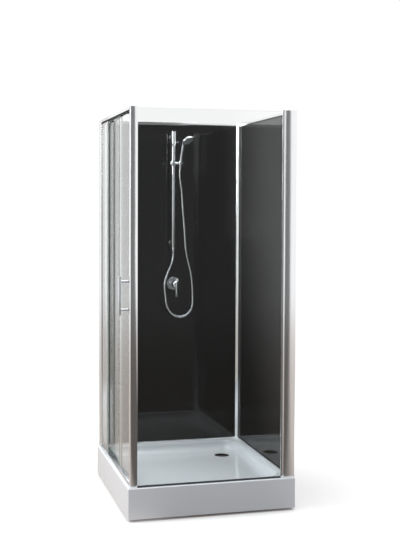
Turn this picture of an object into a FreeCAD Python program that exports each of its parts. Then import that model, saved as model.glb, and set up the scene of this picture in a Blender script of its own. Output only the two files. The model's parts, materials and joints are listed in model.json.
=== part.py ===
"""Square corner shower enclosure with a telescoping sliding door, as a parametric document.

Millimetres, +Z up, origin on the floor under the middle of the tray. X runs along the fixed
glass front, Y runs from the front to the back wall panel. The driving dimensions live in the
sheet "Dims"; every size and place below is a formula of them.
"""
import FreeCAD
import Part
import math
import os
import Sketcher

DOC = FreeCAD.newDocument("ShowerEnclosure")
Vec = FreeCAD.Vector

DIMENSIONS = {
    # whole object
    "width": 900, "depth": 900, "total_height": 2100,
    # tray
    "rim_height": 170, "skirt_gap": 12, "skirt_wall": 5, "deck": 5, "basin_inset": 58,
    "basin_depth": 48, "basin_corner": 80, "cove_radius": 38, "edge_round": 4,
    "drain_radius": 45, "drain_x": 265, "drain_y": 250, "drain_clear": 15,
    "board_thick": 16, "board_side": 760,
    # support bars and feet under the tray
    "bar_width": 30, "bar_height": 25, "bar_wall": 2, "bar_length": 780, "foot_x": 300,
    "foot_y": 335, "pad_radius": 28, "pad_disc": 6, "pad_height": 15, "hub_wall": 5, "rod_radius": 6,
    "rod_fit": 0.05, "rod_seat": 5, "rod_end_gap": 3, "nut_radius": 11, "nut_height": 8,
    "rod_hole_clear": 0.5,
    # posts, jambs and rails
    "edge_inset": 12, "post_side": 38, "post_curve": 90, "rail_height": 14, "track_height": 18,
    "jamb_width": 58, "jamb_depth": 30, "jamb_edge": 1, "jamb_wall": 2.5, "channel_width": 17,
    "channel_thick": 10, "cap_height": 18, "sill_height": 15, "edge_rail": 18, "wall_inset": 32,
    "corner_lap": 18, "corner_bevel": 12, "slot_depth": 11, "slot_clear": 0.3,
    # glass
    "panel_thick": 6, "glass_thick": 5, "front_glass_inset": 6, "front_glass_drop": 6,
    "front_sill_height": 8, "front_sill_wall": 3,
    # lanes of the left side, from the outer face of the rails
    "pane_lane": 4, "outer_lane": 14, "inner_lane": 25, "lane_clear": 2, "track_floor": 4,
    "rail_web": 4, "pane_width": 191,
    # sliding leaves
    "leaf_gap": 10, "outer_leaf_width": 310, "inner_leaf_start": 292, "inner_leaf_width": 350,
    "leaf_top_gap": 4, "strip_grip": 4, "strip_nose": 2, "strip_run_gap": 1, "seal_gap": 0.3,
    "strike_thick": 4, "carrier_length": 60, "carrier_inset": 40, "carrier_side_gap": 0.5,
    "carrier_lift": 2, "carrier_web": 2, "carrier_grip": 9, "wheel_radius": 7, "wheel_width": 4,
    "wheel_gap": 0.3, "wheel_side_gap": 0.4, "wheel_top_gap": 1.5, "axle_radius": 1.5,
    "axle_fit": 0.05, "guide_length": 40, "guide_grip": 10, "guide_rise": 12,
    # door handle
    "handle_length": 204, "handle_height": 1137, "handle_radius": 7.5, "handle_reach": 42,
    "handle_holes": 146, "handle_back": 85, "standoff_radius": 5.5, "flange_radius": 8,
    "flange_thick": 1.5, "screw_head": 2.5, "screw_radius": 4, "screw_depth": 12,
    "glass_hole": 6, "small_chamfer": 1,
    # shower rail
    "rail_x": -9, "rail_off": 64, "rail_radius": 12.5, "rail_wall": 1.5, "rail_bottom": 1353,
    "rail_top": 2037, "plug_lip": 4, "plug_depth": 10, "stub_radius": 9, "stub_inset": 28,
    "rosette_radius": 14, "rosette_thick": 6, "nipple_radius": 6, "nipple_length": 8,
    "nut_length": 26, "nut_wide": 9, "nut_narrow": 8,
    # slider, holder and hand shower
    "slider_z": 1851, "slider_length": 30, "slider_wall": 7, "slider_fit": 0.05,
    "knob_radius": 9, "knob_length": 14, "knob_boss": 4, "knob_turn": 70, "holder_turn": 55,
    "holder_reach": 55, "holder_lean": 7.5, "holder_wall": 5, "holder_length": 18,
    "holder_slit": 15, "pivot_reach": 31, "pivot_radius": 2.5, "pivot_fit": 0.05, "ear_thick": 4,
    "ear_radius": 6, "ear_gap": 0.4, "lug_thick": 8, "lug_radius": 5, "cone_low": 8.5,
    "cone_high": 12, "cone_below": 29, "cone_above": 14, "cone_fit": 0.3, "grip_radius": 10,
    "grip_curve": 700, "grip_bend": 8.2, "neck_curve": 22, "head_tilt": 32, "head_offset": 23,
    "head_drop": 12.6, "head_radius": 39, "head_rim": 7, "head_dome": 16, "head_crown": 16,
    "face_radius": 31, "face_thick": 2, "face_proud": 0.5,
    # mixer
    "mixer_x": 6, "mixer_z": 1135, "plate_radius": 38.5, "plate_thick": 8, "neck_radius": 14,
    "ball_radius": 18.5, "ball_off": 55, "shell_gap": 0.4, "shell_wall": 4.1, "shell_skirt": 4,
    "lever_radius": 5, "lever_length": 69, "lever_eye": 8, "eye_thick": 11,
    "eye_hole": 4.5, "lever_off": 25.5, "lever_lap": 3,
    # hose
    "hose_radius": 6.5, "hose_lead": 45,
}

sheet = DOC.addObject("Spreadsheet::Sheet", "Dims")
for row, (alias, amount) in enumerate(DIMENSIONS.items(), start=1):
    sheet.set(f"A{row}", alias)
    sheet.set(f"B{row}", str(amount))
    sheet.setAlias(f"B{row}", alias)
DOC.recompute()


class Size:
    """A number that keeps the formula it came from, so that it can be bound to the sheet."""

    def __init__(self, value, text):
        self.value = float(value)
        self.text = text

    def __add__(self, other):
        other = size(other)
        return Size(self.value + other.value, f"({self.text} + {other.text})")

    def __sub__(self, other):
        other = size(other)
        return Size(self.value - other.value, f"({self.text} - {other.text})")

    def __mul__(self, other):
        other = size(other)
        return Size(self.value * other.value, f"({self.text} * {other.text})")

    def __truediv__(self, other):
        other = size(other)
        return Size(self.value / other.value, f"({self.text} / {other.text})")

    def __radd__(self, other):
        return size(other) + self

    def __rsub__(self, other):
        return size(other) - self

    def __rmul__(self, other):
        return size(other) * self

    def __neg__(self):
        return Size(-self.value, f"(0 - {self.text})")


def size(value):
    """Turn a plain number into a Size."""
    return value if isinstance(value, Size) else Size(value, f"({float(value)})")


def sine(angle):
    return Size(math.sin(math.radians(angle.value)), f"sin({angle.text} * 1 deg)")


def cosine(angle):
    return Size(math.cos(math.radians(angle.value)), f"cos({angle.text} * 1 deg)")


class Dims:
    """The sheet's cells, read by alias."""

    def __getattr__(self, alias):
        return Size(sheet.get(alias), f"Dims.{alias}")


D = Dims()

# ---------------------------------------------------------------- modelling helpers
UP = FreeCAD.Rotation()
TO_FRONT = FreeCAD.Rotation(Vec(1, 0, 0), 90)
TO_BACK = FreeCAD.Rotation(Vec(1, 0, 0), -90)
TO_RIGHT = FreeCAD.Rotation(Vec(0, 1, 0), 90)


def about_z(angle):
    return FreeCAD.Rotation(Vec(0, 0, 1), angle.value)


def about_y(angle):
    return FreeCAD.Rotation(Vec(0, 1, 0), angle.value)


def bind(thing, prop, amount):
    """Bind a property to the formula of a Size."""
    thing.setExpression(prop, size(amount).text)


def place(thing, spot, turn=UP):
    """Place an object with its origin at spot, turned by turn."""
    thing.Placement = FreeCAD.Placement(Vec(0, 0, 0), turn)
    for axis, amount in zip("xyz", spot):
        bind(thing, f"Placement.Base.{axis}", amount)
    return thing


def add(kind, label):
    thing = DOC.addObject(kind, label)
    thing.Label = label
    return thing


def box(label, x0, x1, y0, y1, z0, z1):
    """A block between two planes on each axis."""
    block = add("Part::Box", label)
    for prop, low, high in (("Length", x0, x1), ("Width", y0, y1), ("Height", z0, z1)):
        bind(block, prop, size(high) - size(low))
    return place(block, (x0, y0, z0))


def cylinder(label, radius, length, spot, turn=UP):
    rod = add("Part::Cylinder", label)
    bind(rod, "Radius", radius)
    bind(rod, "Height", length)
    return place(rod, spot, turn)


def cone(label, low, high, length, spot, turn=UP):
    taper = add("Part::Cone", label)
    bind(taper, "Radius1", low)
    bind(taper, "Radius2", high)
    bind(taper, "Height", length)
    return place(taper, spot, turn)


def ball(label, radius, spot):
    sphere = add("Part::Sphere", label)
    bind(sphere, "Radius", radius)
    return place(sphere, spot)


def bend(label, curve, radius, sweep, spot, turn):
    """A round bar bent through sweep degrees around an axis at spot."""
    ring = add("Part::Torus", label)
    bind(ring, "Radius1", curve)
    bind(ring, "Radius2", radius)
    bind(ring, "Angle3", sweep)
    return place(ring, spot, turn)


def nut(label, radius, height, spot):
    prism = add("Part::Prism", label)
    prism.Polygon = 6
    bind(prism, "Circumradius", radius)
    bind(prism, "Height", height)
    return place(prism, spot)


def fuse(label, *pieces):
    union = add("Part::MultiFuse", label)
    union.Shapes = list(pieces)
    union.Refine = True
    return union


def group(label, *pieces):
    """Equal pieces that stay separate solids in one node."""
    bundle = add("Part::Compound", label)
    bundle.Links = list(pieces)
    return bundle


def cut(label, base, *tools):
    result = add("Part::Cut", label)
    result.Base = base
    result.Tool = tools[0] if len(tools) == 1 else fuse(f"{label}_tools", *tools)
    return result


def common(label, *pieces):
    result = add("Part::MultiCommon", label)
    result.Shapes = list(pieces)
    return result


def sketch_on(body, role, label, lift=0):
    """A sketch on one of the body's own origin planes, lifted along its normal."""
    plane = next(item for item in body.Origin.OriginFeatures if item.Role == role)
    drawing = body.newObject("Sketcher::SketchObject", label)
    drawing.AttachmentSupport = [(plane, "")]
    drawing.MapMode = "FlatFace"
    bind(drawing, "AttachmentOffset.Base.z", lift)
    return drawing


def hold(drawing, index, spot):
    """Fix the start of an edge at spot, each coordinate bound to its formula."""
    for kind, axis, amount in (("DistanceX", -2, spot[0]), ("DistanceY", -1, spot[1])):
        amount = size(amount)
        if amount.value == 0:
            drawing.addConstraint(Sketcher.Constraint("PointOnObject", index, 1, axis))
            continue
        rule = Sketcher.Constraint(kind, -1, 1, index, 1, amount.value)
        number = drawing.addConstraint(rule)
        drawing.setExpression(f"Constraints[{number}]", amount.text)


def draw(drawing, points):
    """Draw a closed outline of straight edges through points of Sizes."""
    spots = [Vec(size(x).value, size(y).value, 0) for x, y in points]
    count = len(spots)
    for index, spot in enumerate(spots):
        drawing.addGeometry(Part.LineSegment(spot, spots[(index + 1) % count]), False)
    for index in range(count):
        after = (index + 1) % count
        drawing.addConstraint(Sketcher.Constraint("Coincident", index, 2, after, 1))
    for index, point in enumerate(points):
        hold(drawing, index, point)


def draw_circle(drawing, centre, radius):
    circle = Part.Circle(Vec(centre[0].value, centre[1].value, 0), Vec(0, 0, 1), radius.value)
    index = drawing.addGeometry(circle, False)
    rule = drawing.addConstraint(Sketcher.Constraint("Radius", index, radius.value))
    drawing.setExpression(f"Constraints[{rule}]", radius.text)
    for kind, amount in (("DistanceX", centre[0]), ("DistanceY", centre[1])):
        rule = drawing.addConstraint(Sketcher.Constraint(kind, -1, 1, index, 3, amount.value))
        drawing.setExpression(f"Constraints[{rule}]", amount.text)


def draw_rounded(drawing, half_x, half_y, corner):
    """Draw a rectangle about the origin with equal round corners."""
    x, y, r = half_x.value, half_y.value, corner.value
    sides = [((r - x, -y), (x - r, -y)), ((x, r - y), (x, y - r)), ((x - r, y), (r - x, y)),
             ((-x, y - r), (-x, r - y))]
    for start, end in sides:
        drawing.addGeometry(Part.LineSegment(Vec(*start, 0), Vec(*end, 0)), False)
    for turn, spot in enumerate(((x - r, r - y), (x - r, y - r), (r - x, y - r), (r - x, r - y))):
        circle = Part.Circle(Vec(*spot, 0), Vec(0, 0, 1), r)
        angle = (turn - 1) * math.pi / 2
        drawing.addGeometry(Part.ArcOfCircle(circle, angle, angle + math.pi / 2), False)
    for side in range(4):
        drawing.addConstraint(Sketcher.Constraint("Tangent", side, 2, 4 + side, 1))
        drawing.addConstraint(Sketcher.Constraint("Tangent", 4 + side, 2, (side + 1) % 4, 1))
        drawing.addConstraint(Sketcher.Constraint(("Horizontal", "Vertical")[side % 2], side))
    for arc in (5, 6, 7):
        drawing.addConstraint(Sketcher.Constraint("Equal", 4, arc))
    rule = drawing.addConstraint(Sketcher.Constraint("Radius", 4, r))
    drawing.setExpression(f"Constraints[{rule}]", corner.text)
    for side, (kind, amount) in enumerate((("DistanceY", -half_y), ("DistanceX", half_x),
                                           ("DistanceY", half_y), ("DistanceX", -half_x))):
        rule = drawing.addConstraint(Sketcher.Constraint(kind, -1, 1, side, 1, amount.value))
        drawing.setExpression(f"Constraints[{rule}]", amount.text)


def rectangle(half_x, half_y):
    return [(-half_x, -half_y), (half_x, -half_y), (half_x, half_y), (-half_x, half_y)]


def new_body(label):
    body = add("PartDesign::Body", label)
    return body


def turned(label, outline, spot=(0, 0, 0), turn=UP):
    """A lathe-turned body: outline gives (radius, height) points around its own Z axis."""
    body = new_body(label)
    drawing = sketch_on(body, "XZ_Plane", f"{label}_outline")
    draw(drawing, outline)
    spin = body.newObject("PartDesign::Revolution", f"{label}_spin")
    spin.Profile = drawing
    spin.ReferenceAxis = (drawing, ["V_Axis"])
    spin.Angle = 360
    return place(body, spot, turn)


def extruded(label, outline, z0, z1):
    """A straight profile: outline gives (x, y) points, from z0 up to z1."""
    body = new_body(label)
    drawing = sketch_on(body, "XY_Plane", f"{label}_outline", z0)
    draw(drawing, outline)
    pad = body.newObject("PartDesign::Pad", f"{label}_pad")
    pad.Profile = drawing
    bind(pad, "Length", size(z1) - size(z0))
    return body


def pad_on(body, label, drawing, length):
    pad = body.newObject("PartDesign::Pad", label)
    pad.Profile = drawing
    bind(pad, "Length", length)
    DOC.recompute()
    return pad


def pocket_on(body, label, drawing, length, against):
    """Pocket along the sketch normal, or against it, and make sure that it removes something."""
    before = body.Shape.Volume
    pocket = body.newObject("PartDesign::Pocket", label)
    pocket.Profile = drawing
    pocket.Reversed = against
    bind(pocket, "Length", length)
    DOC.recompute()
    assert body.Shape.Volume < before - 1, f"{label} removes nothing"
    return pocket


def fillet_on(body, label, radius, wanted):
    """Round the edges of the body's tip whose bounding box passes the test wanted."""
    tip = body.Tip
    edges = [f"Edge{n}" for n, edge in enumerate(tip.Shape.Edges, start=1)
             if wanted(edge.BoundBox)]
    assert edges, f"{label} finds no edge"
    rounding = body.newObject("PartDesign::Fillet", label)
    rounding.Base = (tip, edges)
    bind(rounding, "Radius", radius)
    DOC.recompute()
    return rounding


def upright(bounds):
    return bounds.ZLength > 1 and bounds.XLength < 0.01 and bounds.YLength < 0.01


def level_at(height, bounds):
    return abs(bounds.ZMin - height) < 0.01 and abs(bounds.ZMax - height) < 0.01


# ---------------------------------------------------------------- planes shared by the pieces
left, right = -D.width / 2, D.width / 2
front, back = -D.depth / 2, D.depth / 2
rim, top = D.rim_height, D.total_height
outer_x = left + D.edge_inset                  # outer face of the left rails and of the post
outer_y = front + D.edge_inset                 # outer face of the post and of the right jamb
post_x, post_y = outer_x + D.post_side, outer_y + D.post_side
panel_x, panel_y = right - D.wall_inset, back - D.wall_inset    # inner faces of the wall panels
jamb_x0, jamb_x1 = right - D.jamb_edge - D.jamb_width, right - D.jamb_edge
jamb_y0, jamb_y1 = back - D.jamb_edge - D.jamb_width, back - D.jamb_edge
track_top, rail_low = rim + D.track_height, top - D.rail_height


# ---------------------------------------------------------------- tray and what carries it
def make_tray():
    """One moulding: skirt, deck, basin with coved foot and the open drain hole."""
    tray = new_body("shower_tray")
    outline = sketch_on(tray, "XY_Plane", "tray_outline", D.skirt_gap)
    draw(outline, rectangle(right, back))
    pad_on(tray, "tray_block", outline, rim - D.skirt_gap)
    fillet_on(tray, "tray_corners", D.edge_round, upright)
    hollow = sketch_on(tray, "XY_Plane", "tray_hollow", D.skirt_gap)
    draw(hollow, rectangle(right - D.skirt_wall, back - D.skirt_wall))
    pocket_on(tray, "tray_under", hollow, rim - D.skirt_gap - D.deck, True)

    basin_x, basin_y = right - D.basin_inset, back - D.basin_inset
    floor_low = rim - D.basin_depth - D.deck
    shell = sketch_on(tray, "XY_Plane", "basin_shell", floor_low)
    draw_rounded(shell, basin_x + D.deck, basin_y + D.deck, D.basin_corner + D.deck)
    pad_on(tray, "basin_block", shell, D.basin_depth + D.deck / 2)
    cavity = sketch_on(tray, "XY_Plane", "basin_outline", rim)
    draw_rounded(cavity, basin_x, basin_y, D.basin_corner)
    pocket_on(tray, "basin", cavity, D.basin_depth, False)
    fillet_on(tray, "basin_cove", D.cove_radius,
              lambda bounds: level_at((rim - D.basin_depth).value, bounds))
    fillet_on(tray, "shell_cove", D.cove_radius + D.deck,
              lambda bounds: level_at(floor_low.value, bounds))

    def rim_edge(bounds):
        return level_at(rim.value, bounds)

    fillet_on(tray, "rim_round", D.edge_round, rim_edge)
    drain = sketch_on(tray, "XY_Plane", "drain_outline", rim)
    draw_circle(drain, (D.drain_x, D.drain_y), D.drain_radius)
    pocket_on(tray, "drain_hole", drain, D.basin_depth + 2 * D.deck, False)
    return tray


def make_board():
    """Stiffening board under the basin floor, cut out round the drain."""
    floor_low = rim - D.basin_depth - D.deck
    half = D.board_side / 2
    plate = box("board_block", -half, half, -half, half, floor_low - D.board_thick, floor_low)
    clear = cylinder("board_drain", D.drain_radius + D.drain_clear, D.board_thick,
                     (D.drain_x, D.drain_y, floor_low - D.board_thick))
    return cut("tray_board", plate, clear)


bar_top = rim - D.basin_depth - D.deck - D.board_thick
bar_low = bar_top - D.bar_height
FEET = [(-D.foot_x, -D.foot_y), (D.foot_x, -D.foot_y), (size(0), size(0)),
        (-D.foot_x, D.foot_y), (D.foot_x, D.foot_y)]


def make_support_bar(label, y, feet):
    """Rectangular steel tube across the tray, drilled for the feet's rods."""
    half, reach = D.bar_width / 2, D.bar_length / 2
    tube = box(f"{label}_tube", -reach, reach, y - half, y + half, bar_low, bar_top)
    inside = box(f"{label}_inside", -reach, reach, y - half + D.bar_wall, y + half - D.bar_wall,
                 bar_low + D.bar_wall, bar_top - D.bar_wall)
    holes = [cylinder(f"{label}_hole{number}", D.rod_radius + D.rod_hole_clear, D.bar_wall,
                      (x, foot_y, bar_low))
             for number, (x, foot_y) in enumerate(feet)]
    return cut(label, tube, inside, *holes)


def make_foot_pad(label, spot):
    """Levelling pad with a blind socket for its rod."""
    hub = D.rod_radius + D.hub_wall
    socket = D.rod_radius + D.rod_fit
    outline = [(0, 0), (D.pad_radius, 0), (D.pad_radius, D.pad_disc), (hub, D.pad_disc),
               (hub, D.pad_height), (socket, D.pad_height), (socket, D.rod_seat),
               (0, D.rod_seat)]
    return turned(label, outline, (spot[0], spot[1], 0))


def make_feet():
    rod_end = bar_top - D.bar_wall - D.rod_end_gap
    rods = [cylinder(f"rod{number}", D.rod_radius, rod_end - D.rod_seat, (x, y, D.rod_seat))
            for number, (x, y) in enumerate(FEET)]
    nuts = []
    for number, (x, y) in enumerate(FEET):
        for side, z in (("low", bar_low - D.nut_height), ("high", bar_low + D.bar_wall)):
            name = f"nut{number}_{side}"
            blank = nut(f"{name}_blank", D.nut_radius, D.nut_height, (x, y, z))
            bore = cylinder(f"{name}_bore", D.rod_radius + D.rod_fit, D.nut_height, (x, y, z))
            nuts.append(cut(name, blank, bore))
    pads = [make_foot_pad(f"pad{number}", spot) for number, spot in enumerate(FEET)]
    return [group("foot_pads", *pads), group("foot_rods", *rods), group("foot_nuts", *nuts)]


# ---------------------------------------------------------------- fixed frame
def lane(offset):
    """Outer and inner face of the glass that stands at this offset from the rails' face."""
    return outer_x + offset, outer_x + offset + D.glass_thick


pane_x0, pane_x1 = lane(D.pane_lane)
strike_y = post_y + D.strike_thick
front_glass_y0 = outer_y + D.front_glass_inset
front_glass_y1 = front_glass_y0 + D.glass_thick
channel_x0 = jamb_x0 - D.channel_width
channel_y0 = jamb_y0 - D.channel_width


def make_post():
    """Front left corner post: two gently bulging outer faces and a slot for the front glass."""
    block = box("post_block", outer_x, post_x, outer_y, post_y, rim, top)
    middle = D.post_side / 2
    front_curve = cylinder("post_front_curve", D.post_curve, top - rim,
                           (outer_x + middle, outer_y + D.post_curve, rim))
    left_curve = cylinder("post_left_curve", D.post_curve, top - rim,
                          (outer_x + D.post_curve, outer_y + middle, rim))
    slot = box("post_slot", post_x - D.slot_depth, post_x, front_glass_y0 - D.slot_clear,
               front_glass_y1 + D.slot_clear, rim, top)
    return cut("corner_post", common("post_shape", block, front_curve, left_curve), slot)


def make_front_jamb():
    """Front right wall profile, hollow, with a slot for the right wall panel."""
    y1 = outer_y + D.jamb_depth
    body = box("front_jamb_block", jamb_x0, jamb_x1, outer_y, y1, rim, top)
    chamber = box("front_jamb_chamber", jamb_x0 + D.jamb_wall,
                  panel_x - D.slot_clear - D.jamb_wall, outer_y + D.jamb_wall,
                  y1 - D.jamb_wall, rim, top)
    slot = box("front_jamb_slot", panel_x - D.slot_clear, panel_x + D.panel_thick + D.slot_clear,
               y1 - D.slot_depth, y1, rim, top)
    return cut("front_right_jamb", body, chamber, slot)


def make_front_channel():
    """Adjusting profile in front of the right jamb that holds the fixed front glass."""
    middle = (front_glass_y0 + front_glass_y1) / 2
    half = D.channel_thick / 2
    body = box("front_channel_block", channel_x0, jamb_x0, middle - half, middle + half, rim, top)
    slot = box("front_channel_slot", channel_x0, channel_x0 + D.slot_depth,
               front_glass_y0 - D.slot_clear, front_glass_y1 + D.slot_clear, rim, top)
    return cut("front_channel", body, slot)


def make_back_jamb():
    """Back left wall profile with slots for the fixed pane's channel side and the back panel."""
    body = box("back_jamb_block", outer_x, post_x, jamb_y0, jamb_y1, rim, top)
    chamber = box("back_jamb_chamber", outer_x + D.jamb_wall,
                  post_x - D.slot_depth - D.jamb_wall, jamb_y0 + D.jamb_wall,
                  jamb_y1 - D.jamb_wall, rim, top)
    slot = box("back_jamb_slot", post_x - D.slot_depth, post_x, panel_y - D.slot_clear,
               panel_y + D.panel_thick + D.slot_clear, rim, top)
    return cut("back_left_jamb", body, chamber, slot)


def make_back_channel():
    """Adjusting profile that holds the back edge of the fixed pane, between the two rails."""
    middle = (pane_x0 + pane_x1) / 2
    half = D.channel_thick / 2
    body = box("back_channel_block", middle - half, middle + half, channel_y0, jamb_y0,
               track_top, rail_low)
    slot = box("back_channel_slot", pane_x0 - D.slot_clear, pane_x1 + D.slot_clear, channel_y0,
               channel_y0 + D.slot_depth, track_top, rail_low)
    return cut("back_channel", body, slot)


def make_corner_profile():
    """Back right profile: laps over both wall panels with a bevelled inner edge."""
    x0, y0 = panel_x - D.corner_lap, panel_y - D.corner_lap
    x1, y1 = panel_x + D.corner_lap, panel_y + D.corner_lap
    bevel = D.corner_bevel
    outline = [(x0 + bevel, y0), (x1, y0), (x1, y1), (x0, y1), (x0, y0 + bevel)]
    solid = extruded("corner_profile_blank", outline, rim, top)
    back_slot = box("corner_back_slot", x0, x0 + D.slot_depth, panel_y - D.slot_clear,
                    panel_y + D.panel_thick + D.slot_clear, rim, top)
    right_slot = box("corner_right_slot", panel_x - D.slot_clear,
                     panel_x + D.panel_thick + D.slot_clear, y0, y0 + D.slot_depth, rim, top)
    return cut("back_right_profile", solid, back_slot, right_slot)


def make_edge_rails():
    """Top and bottom profiles of the two wall panels."""
    lap = (D.edge_rail - D.panel_thick) / 2
    back_ends = (post_x, panel_x - D.corner_lap)
    right_ends = (outer_y + D.jamb_depth, panel_y - D.corner_lap)
    rails = []
    for side, low, high, slot_low, slot_high in (
            ("top", top - D.cap_height, top, top - D.cap_height,
             top - D.cap_height + D.slot_depth),
            ("bottom", rim, rim + D.sill_height, rim + D.sill_height - D.slot_depth,
             rim + D.sill_height)):
        body = box(f"back_{side}_block", *back_ends, panel_y - lap,
                   panel_y + D.panel_thick + lap, low, high)
        slot = box(f"back_{side}_slot", *back_ends, panel_y - D.slot_clear,
                   panel_y + D.panel_thick + D.slot_clear, slot_low, slot_high)
        rails.append(cut(f"back_{side}_rail", body, slot))
        body = box(f"right_{side}_block", panel_x - lap, panel_x + D.panel_thick + lap,
                   *right_ends, low, high)
        slot = box(f"right_{side}_slot", panel_x - D.slot_clear,
                   panel_x + D.panel_thick + D.slot_clear, *right_ends, slot_low, slot_high)
        rails.append(cut(f"right_{side}_rail", body, slot))
    return rails


def make_wall_panels():
    """The two dark wall panels, each set into the profiles round it."""
    z0 = rim + D.sill_height - D.slot_depth + D.slot_clear
    z1 = top - D.cap_height + D.slot_depth - D.slot_clear
    seat = D.slot_depth - D.slot_clear
    back_panel = box("back_panel", post_x - seat, panel_x - D.corner_lap + seat, panel_y,
                     panel_y + D.panel_thick, z0, z1)
    right_panel = box("right_panel", panel_x, panel_x + D.panel_thick,
                      outer_y + D.jamb_depth - seat, panel_y - D.corner_lap + seat, z0, z1)
    return [back_panel, right_panel]


def make_front():
    """Fixed front glass with its bare top edge, and the slim sill that it stands in."""
    seat = D.slot_depth - D.slot_clear
    foot = rim + D.front_sill_wall
    glass = box("front_glass", post_x - seat, channel_x0 + seat, front_glass_y0, front_glass_y1,
                foot, top - D.front_glass_drop)
    body = box("front_sill_block", post_x, channel_x0, front_glass_y0 - D.front_sill_wall,
               front_glass_y1 + D.front_sill_wall, rim, rim + D.front_sill_height)
    slot = box("front_sill_slot", post_x, channel_x0, front_glass_y0, front_glass_y1, foot,
               rim + D.front_sill_height)
    return [glass, cut("front_sill", body, slot)]


def lane_grooves(label, deep_z, open_z):
    """Boxes for the three lanes: one snug for the fixed pane and two for the leaves."""
    low, high = (deep_z, open_z) if deep_z.value < open_z.value else (open_z, deep_z)
    grooves = [box(f"{label}_pane_groove", pane_x0 - D.slot_clear, pane_x1 + D.slot_clear,
                   post_y, jamb_y0, low, high)]
    for name, offset in (("outer", D.outer_lane), ("inner", D.inner_lane)):
        x0, x1 = lane(offset)
        grooves.append(box(f"{label}_{name}_groove", x0 - D.lane_clear, x1 + D.lane_clear,
                           post_y, jamb_y0, low, high))
    return grooves


def make_rails():
    """Bottom track and top rail of the door side."""
    track = box("track_block", outer_x, post_x, post_y, jamb_y0, rim, track_top)
    rail = box("rail_block", outer_x, post_x, post_y, jamb_y0, rail_low, top)
    return [cut("bottom_track", track, *lane_grooves("track", rim + D.track_floor, track_top)),
            cut("top_rail", rail, *lane_grooves("rail", top - D.rail_web, rail_low))]


pane_front = jamb_y0 - D.pane_width
strip_z0, strip_z1 = track_top + D.strip_run_gap, rail_low - D.strip_run_gap


def make_strip(label, glass_x0, glass_x1, y0, y1, grip0, grip1):
    """Edge strip from y0 to y1 that grips the glass edge between grip0 and grip1."""
    body = box(f"{label}_body", glass_x0 - D.lane_clear, glass_x1 + D.lane_clear, y0, y1,
               strip_z0, strip_z1)
    slot = box(f"{label}_slot", glass_x0, glass_x1, grip0, grip1, strip_z0, strip_z1)
    return cut(label, body, slot)


def make_fixed_pane():
    z0, z1 = rim + D.track_floor + D.slot_clear, top - D.rail_web - D.slot_clear
    pane = box("fixed_pane", pane_x0, pane_x1, pane_front,
               channel_y0 + D.slot_depth - D.slot_clear, z0, z1)
    strip = make_strip("fixed_pane_strip", pane_x0, pane_x1, pane_front - D.strip_nose,
                       pane_front + D.strip_grip, pane_front, pane_front + D.strip_grip)
    return [pane, strip]


# ---------------------------------------------------------------- sliding leaves
wheel_z = rim + D.track_floor + D.wheel_gap + D.wheel_radius
pocket_top = wheel_z + D.wheel_radius + D.wheel_top_gap
leaf_z0 = pocket_top + D.carrier_web
leaf_z1 = rail_low - D.leaf_top_gap


def make_carrier(label, x_middle, y0, wheel_y):
    """Bottom clamp: grips the glass above and holds one wheel in a pocket below."""
    half = D.glass_thick / 2 + D.lane_clear - D.carrier_side_gap
    y1 = y0 + D.carrier_length
    body = box(f"{label}_body", x_middle - half, x_middle + half, y0, y1,
               rim + D.track_floor + D.carrier_lift, leaf_z0 + D.carrier_grip)
    grip = box(f"{label}_grip", x_middle - D.glass_thick / 2, x_middle + D.glass_thick / 2,
               y0, y1, leaf_z0, leaf_z0 + D.carrier_grip)
    pocket_half = D.wheel_width / 2 + D.wheel_side_gap
    pocket_reach = D.wheel_radius + D.wheel_top_gap
    pocket = box(f"{label}_pocket", x_middle - pocket_half, x_middle + pocket_half,
                 wheel_y - pocket_reach, wheel_y + pocket_reach,
                 rim + D.track_floor + D.carrier_lift, pocket_top)
    bore = cylinder(f"{label}_bore", D.axle_radius, 2 * half, (x_middle - half, wheel_y, wheel_z),
                    TO_RIGHT)
    return cut(label, body, grip, pocket, bore)


def make_wheel(label, x_middle, wheel_y):
    half = D.wheel_width / 2
    rim_cut = D.wheel_gap
    outline = [(D.axle_radius + D.axle_fit, 0), (D.wheel_radius - rim_cut, 0),
               (D.wheel_radius, rim_cut), (D.wheel_radius, D.wheel_width - rim_cut),
               (D.wheel_radius - rim_cut, D.wheel_width),
               (D.axle_radius + D.axle_fit, D.wheel_width)]
    return turned(label, outline, (x_middle - half, wheel_y, wheel_z), TO_RIGHT)


def make_guide(label, x_middle, y0):
    """Top shoe: grips the glass below and runs in the rail's groove."""
    half = D.glass_thick / 2 + D.lane_clear - D.carrier_side_gap
    y1 = y0 + D.guide_length
    body = box(f"{label}_body", x_middle - half, x_middle + half, y0, y1,
               leaf_z1 - D.guide_grip, leaf_z1 + D.guide_rise)
    grip = box(f"{label}_grip", x_middle - D.glass_thick / 2, x_middle + D.glass_thick / 2,
               y0, y1, leaf_z1 - D.guide_grip, leaf_z1)
    return cut(label, body, grip)


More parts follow.
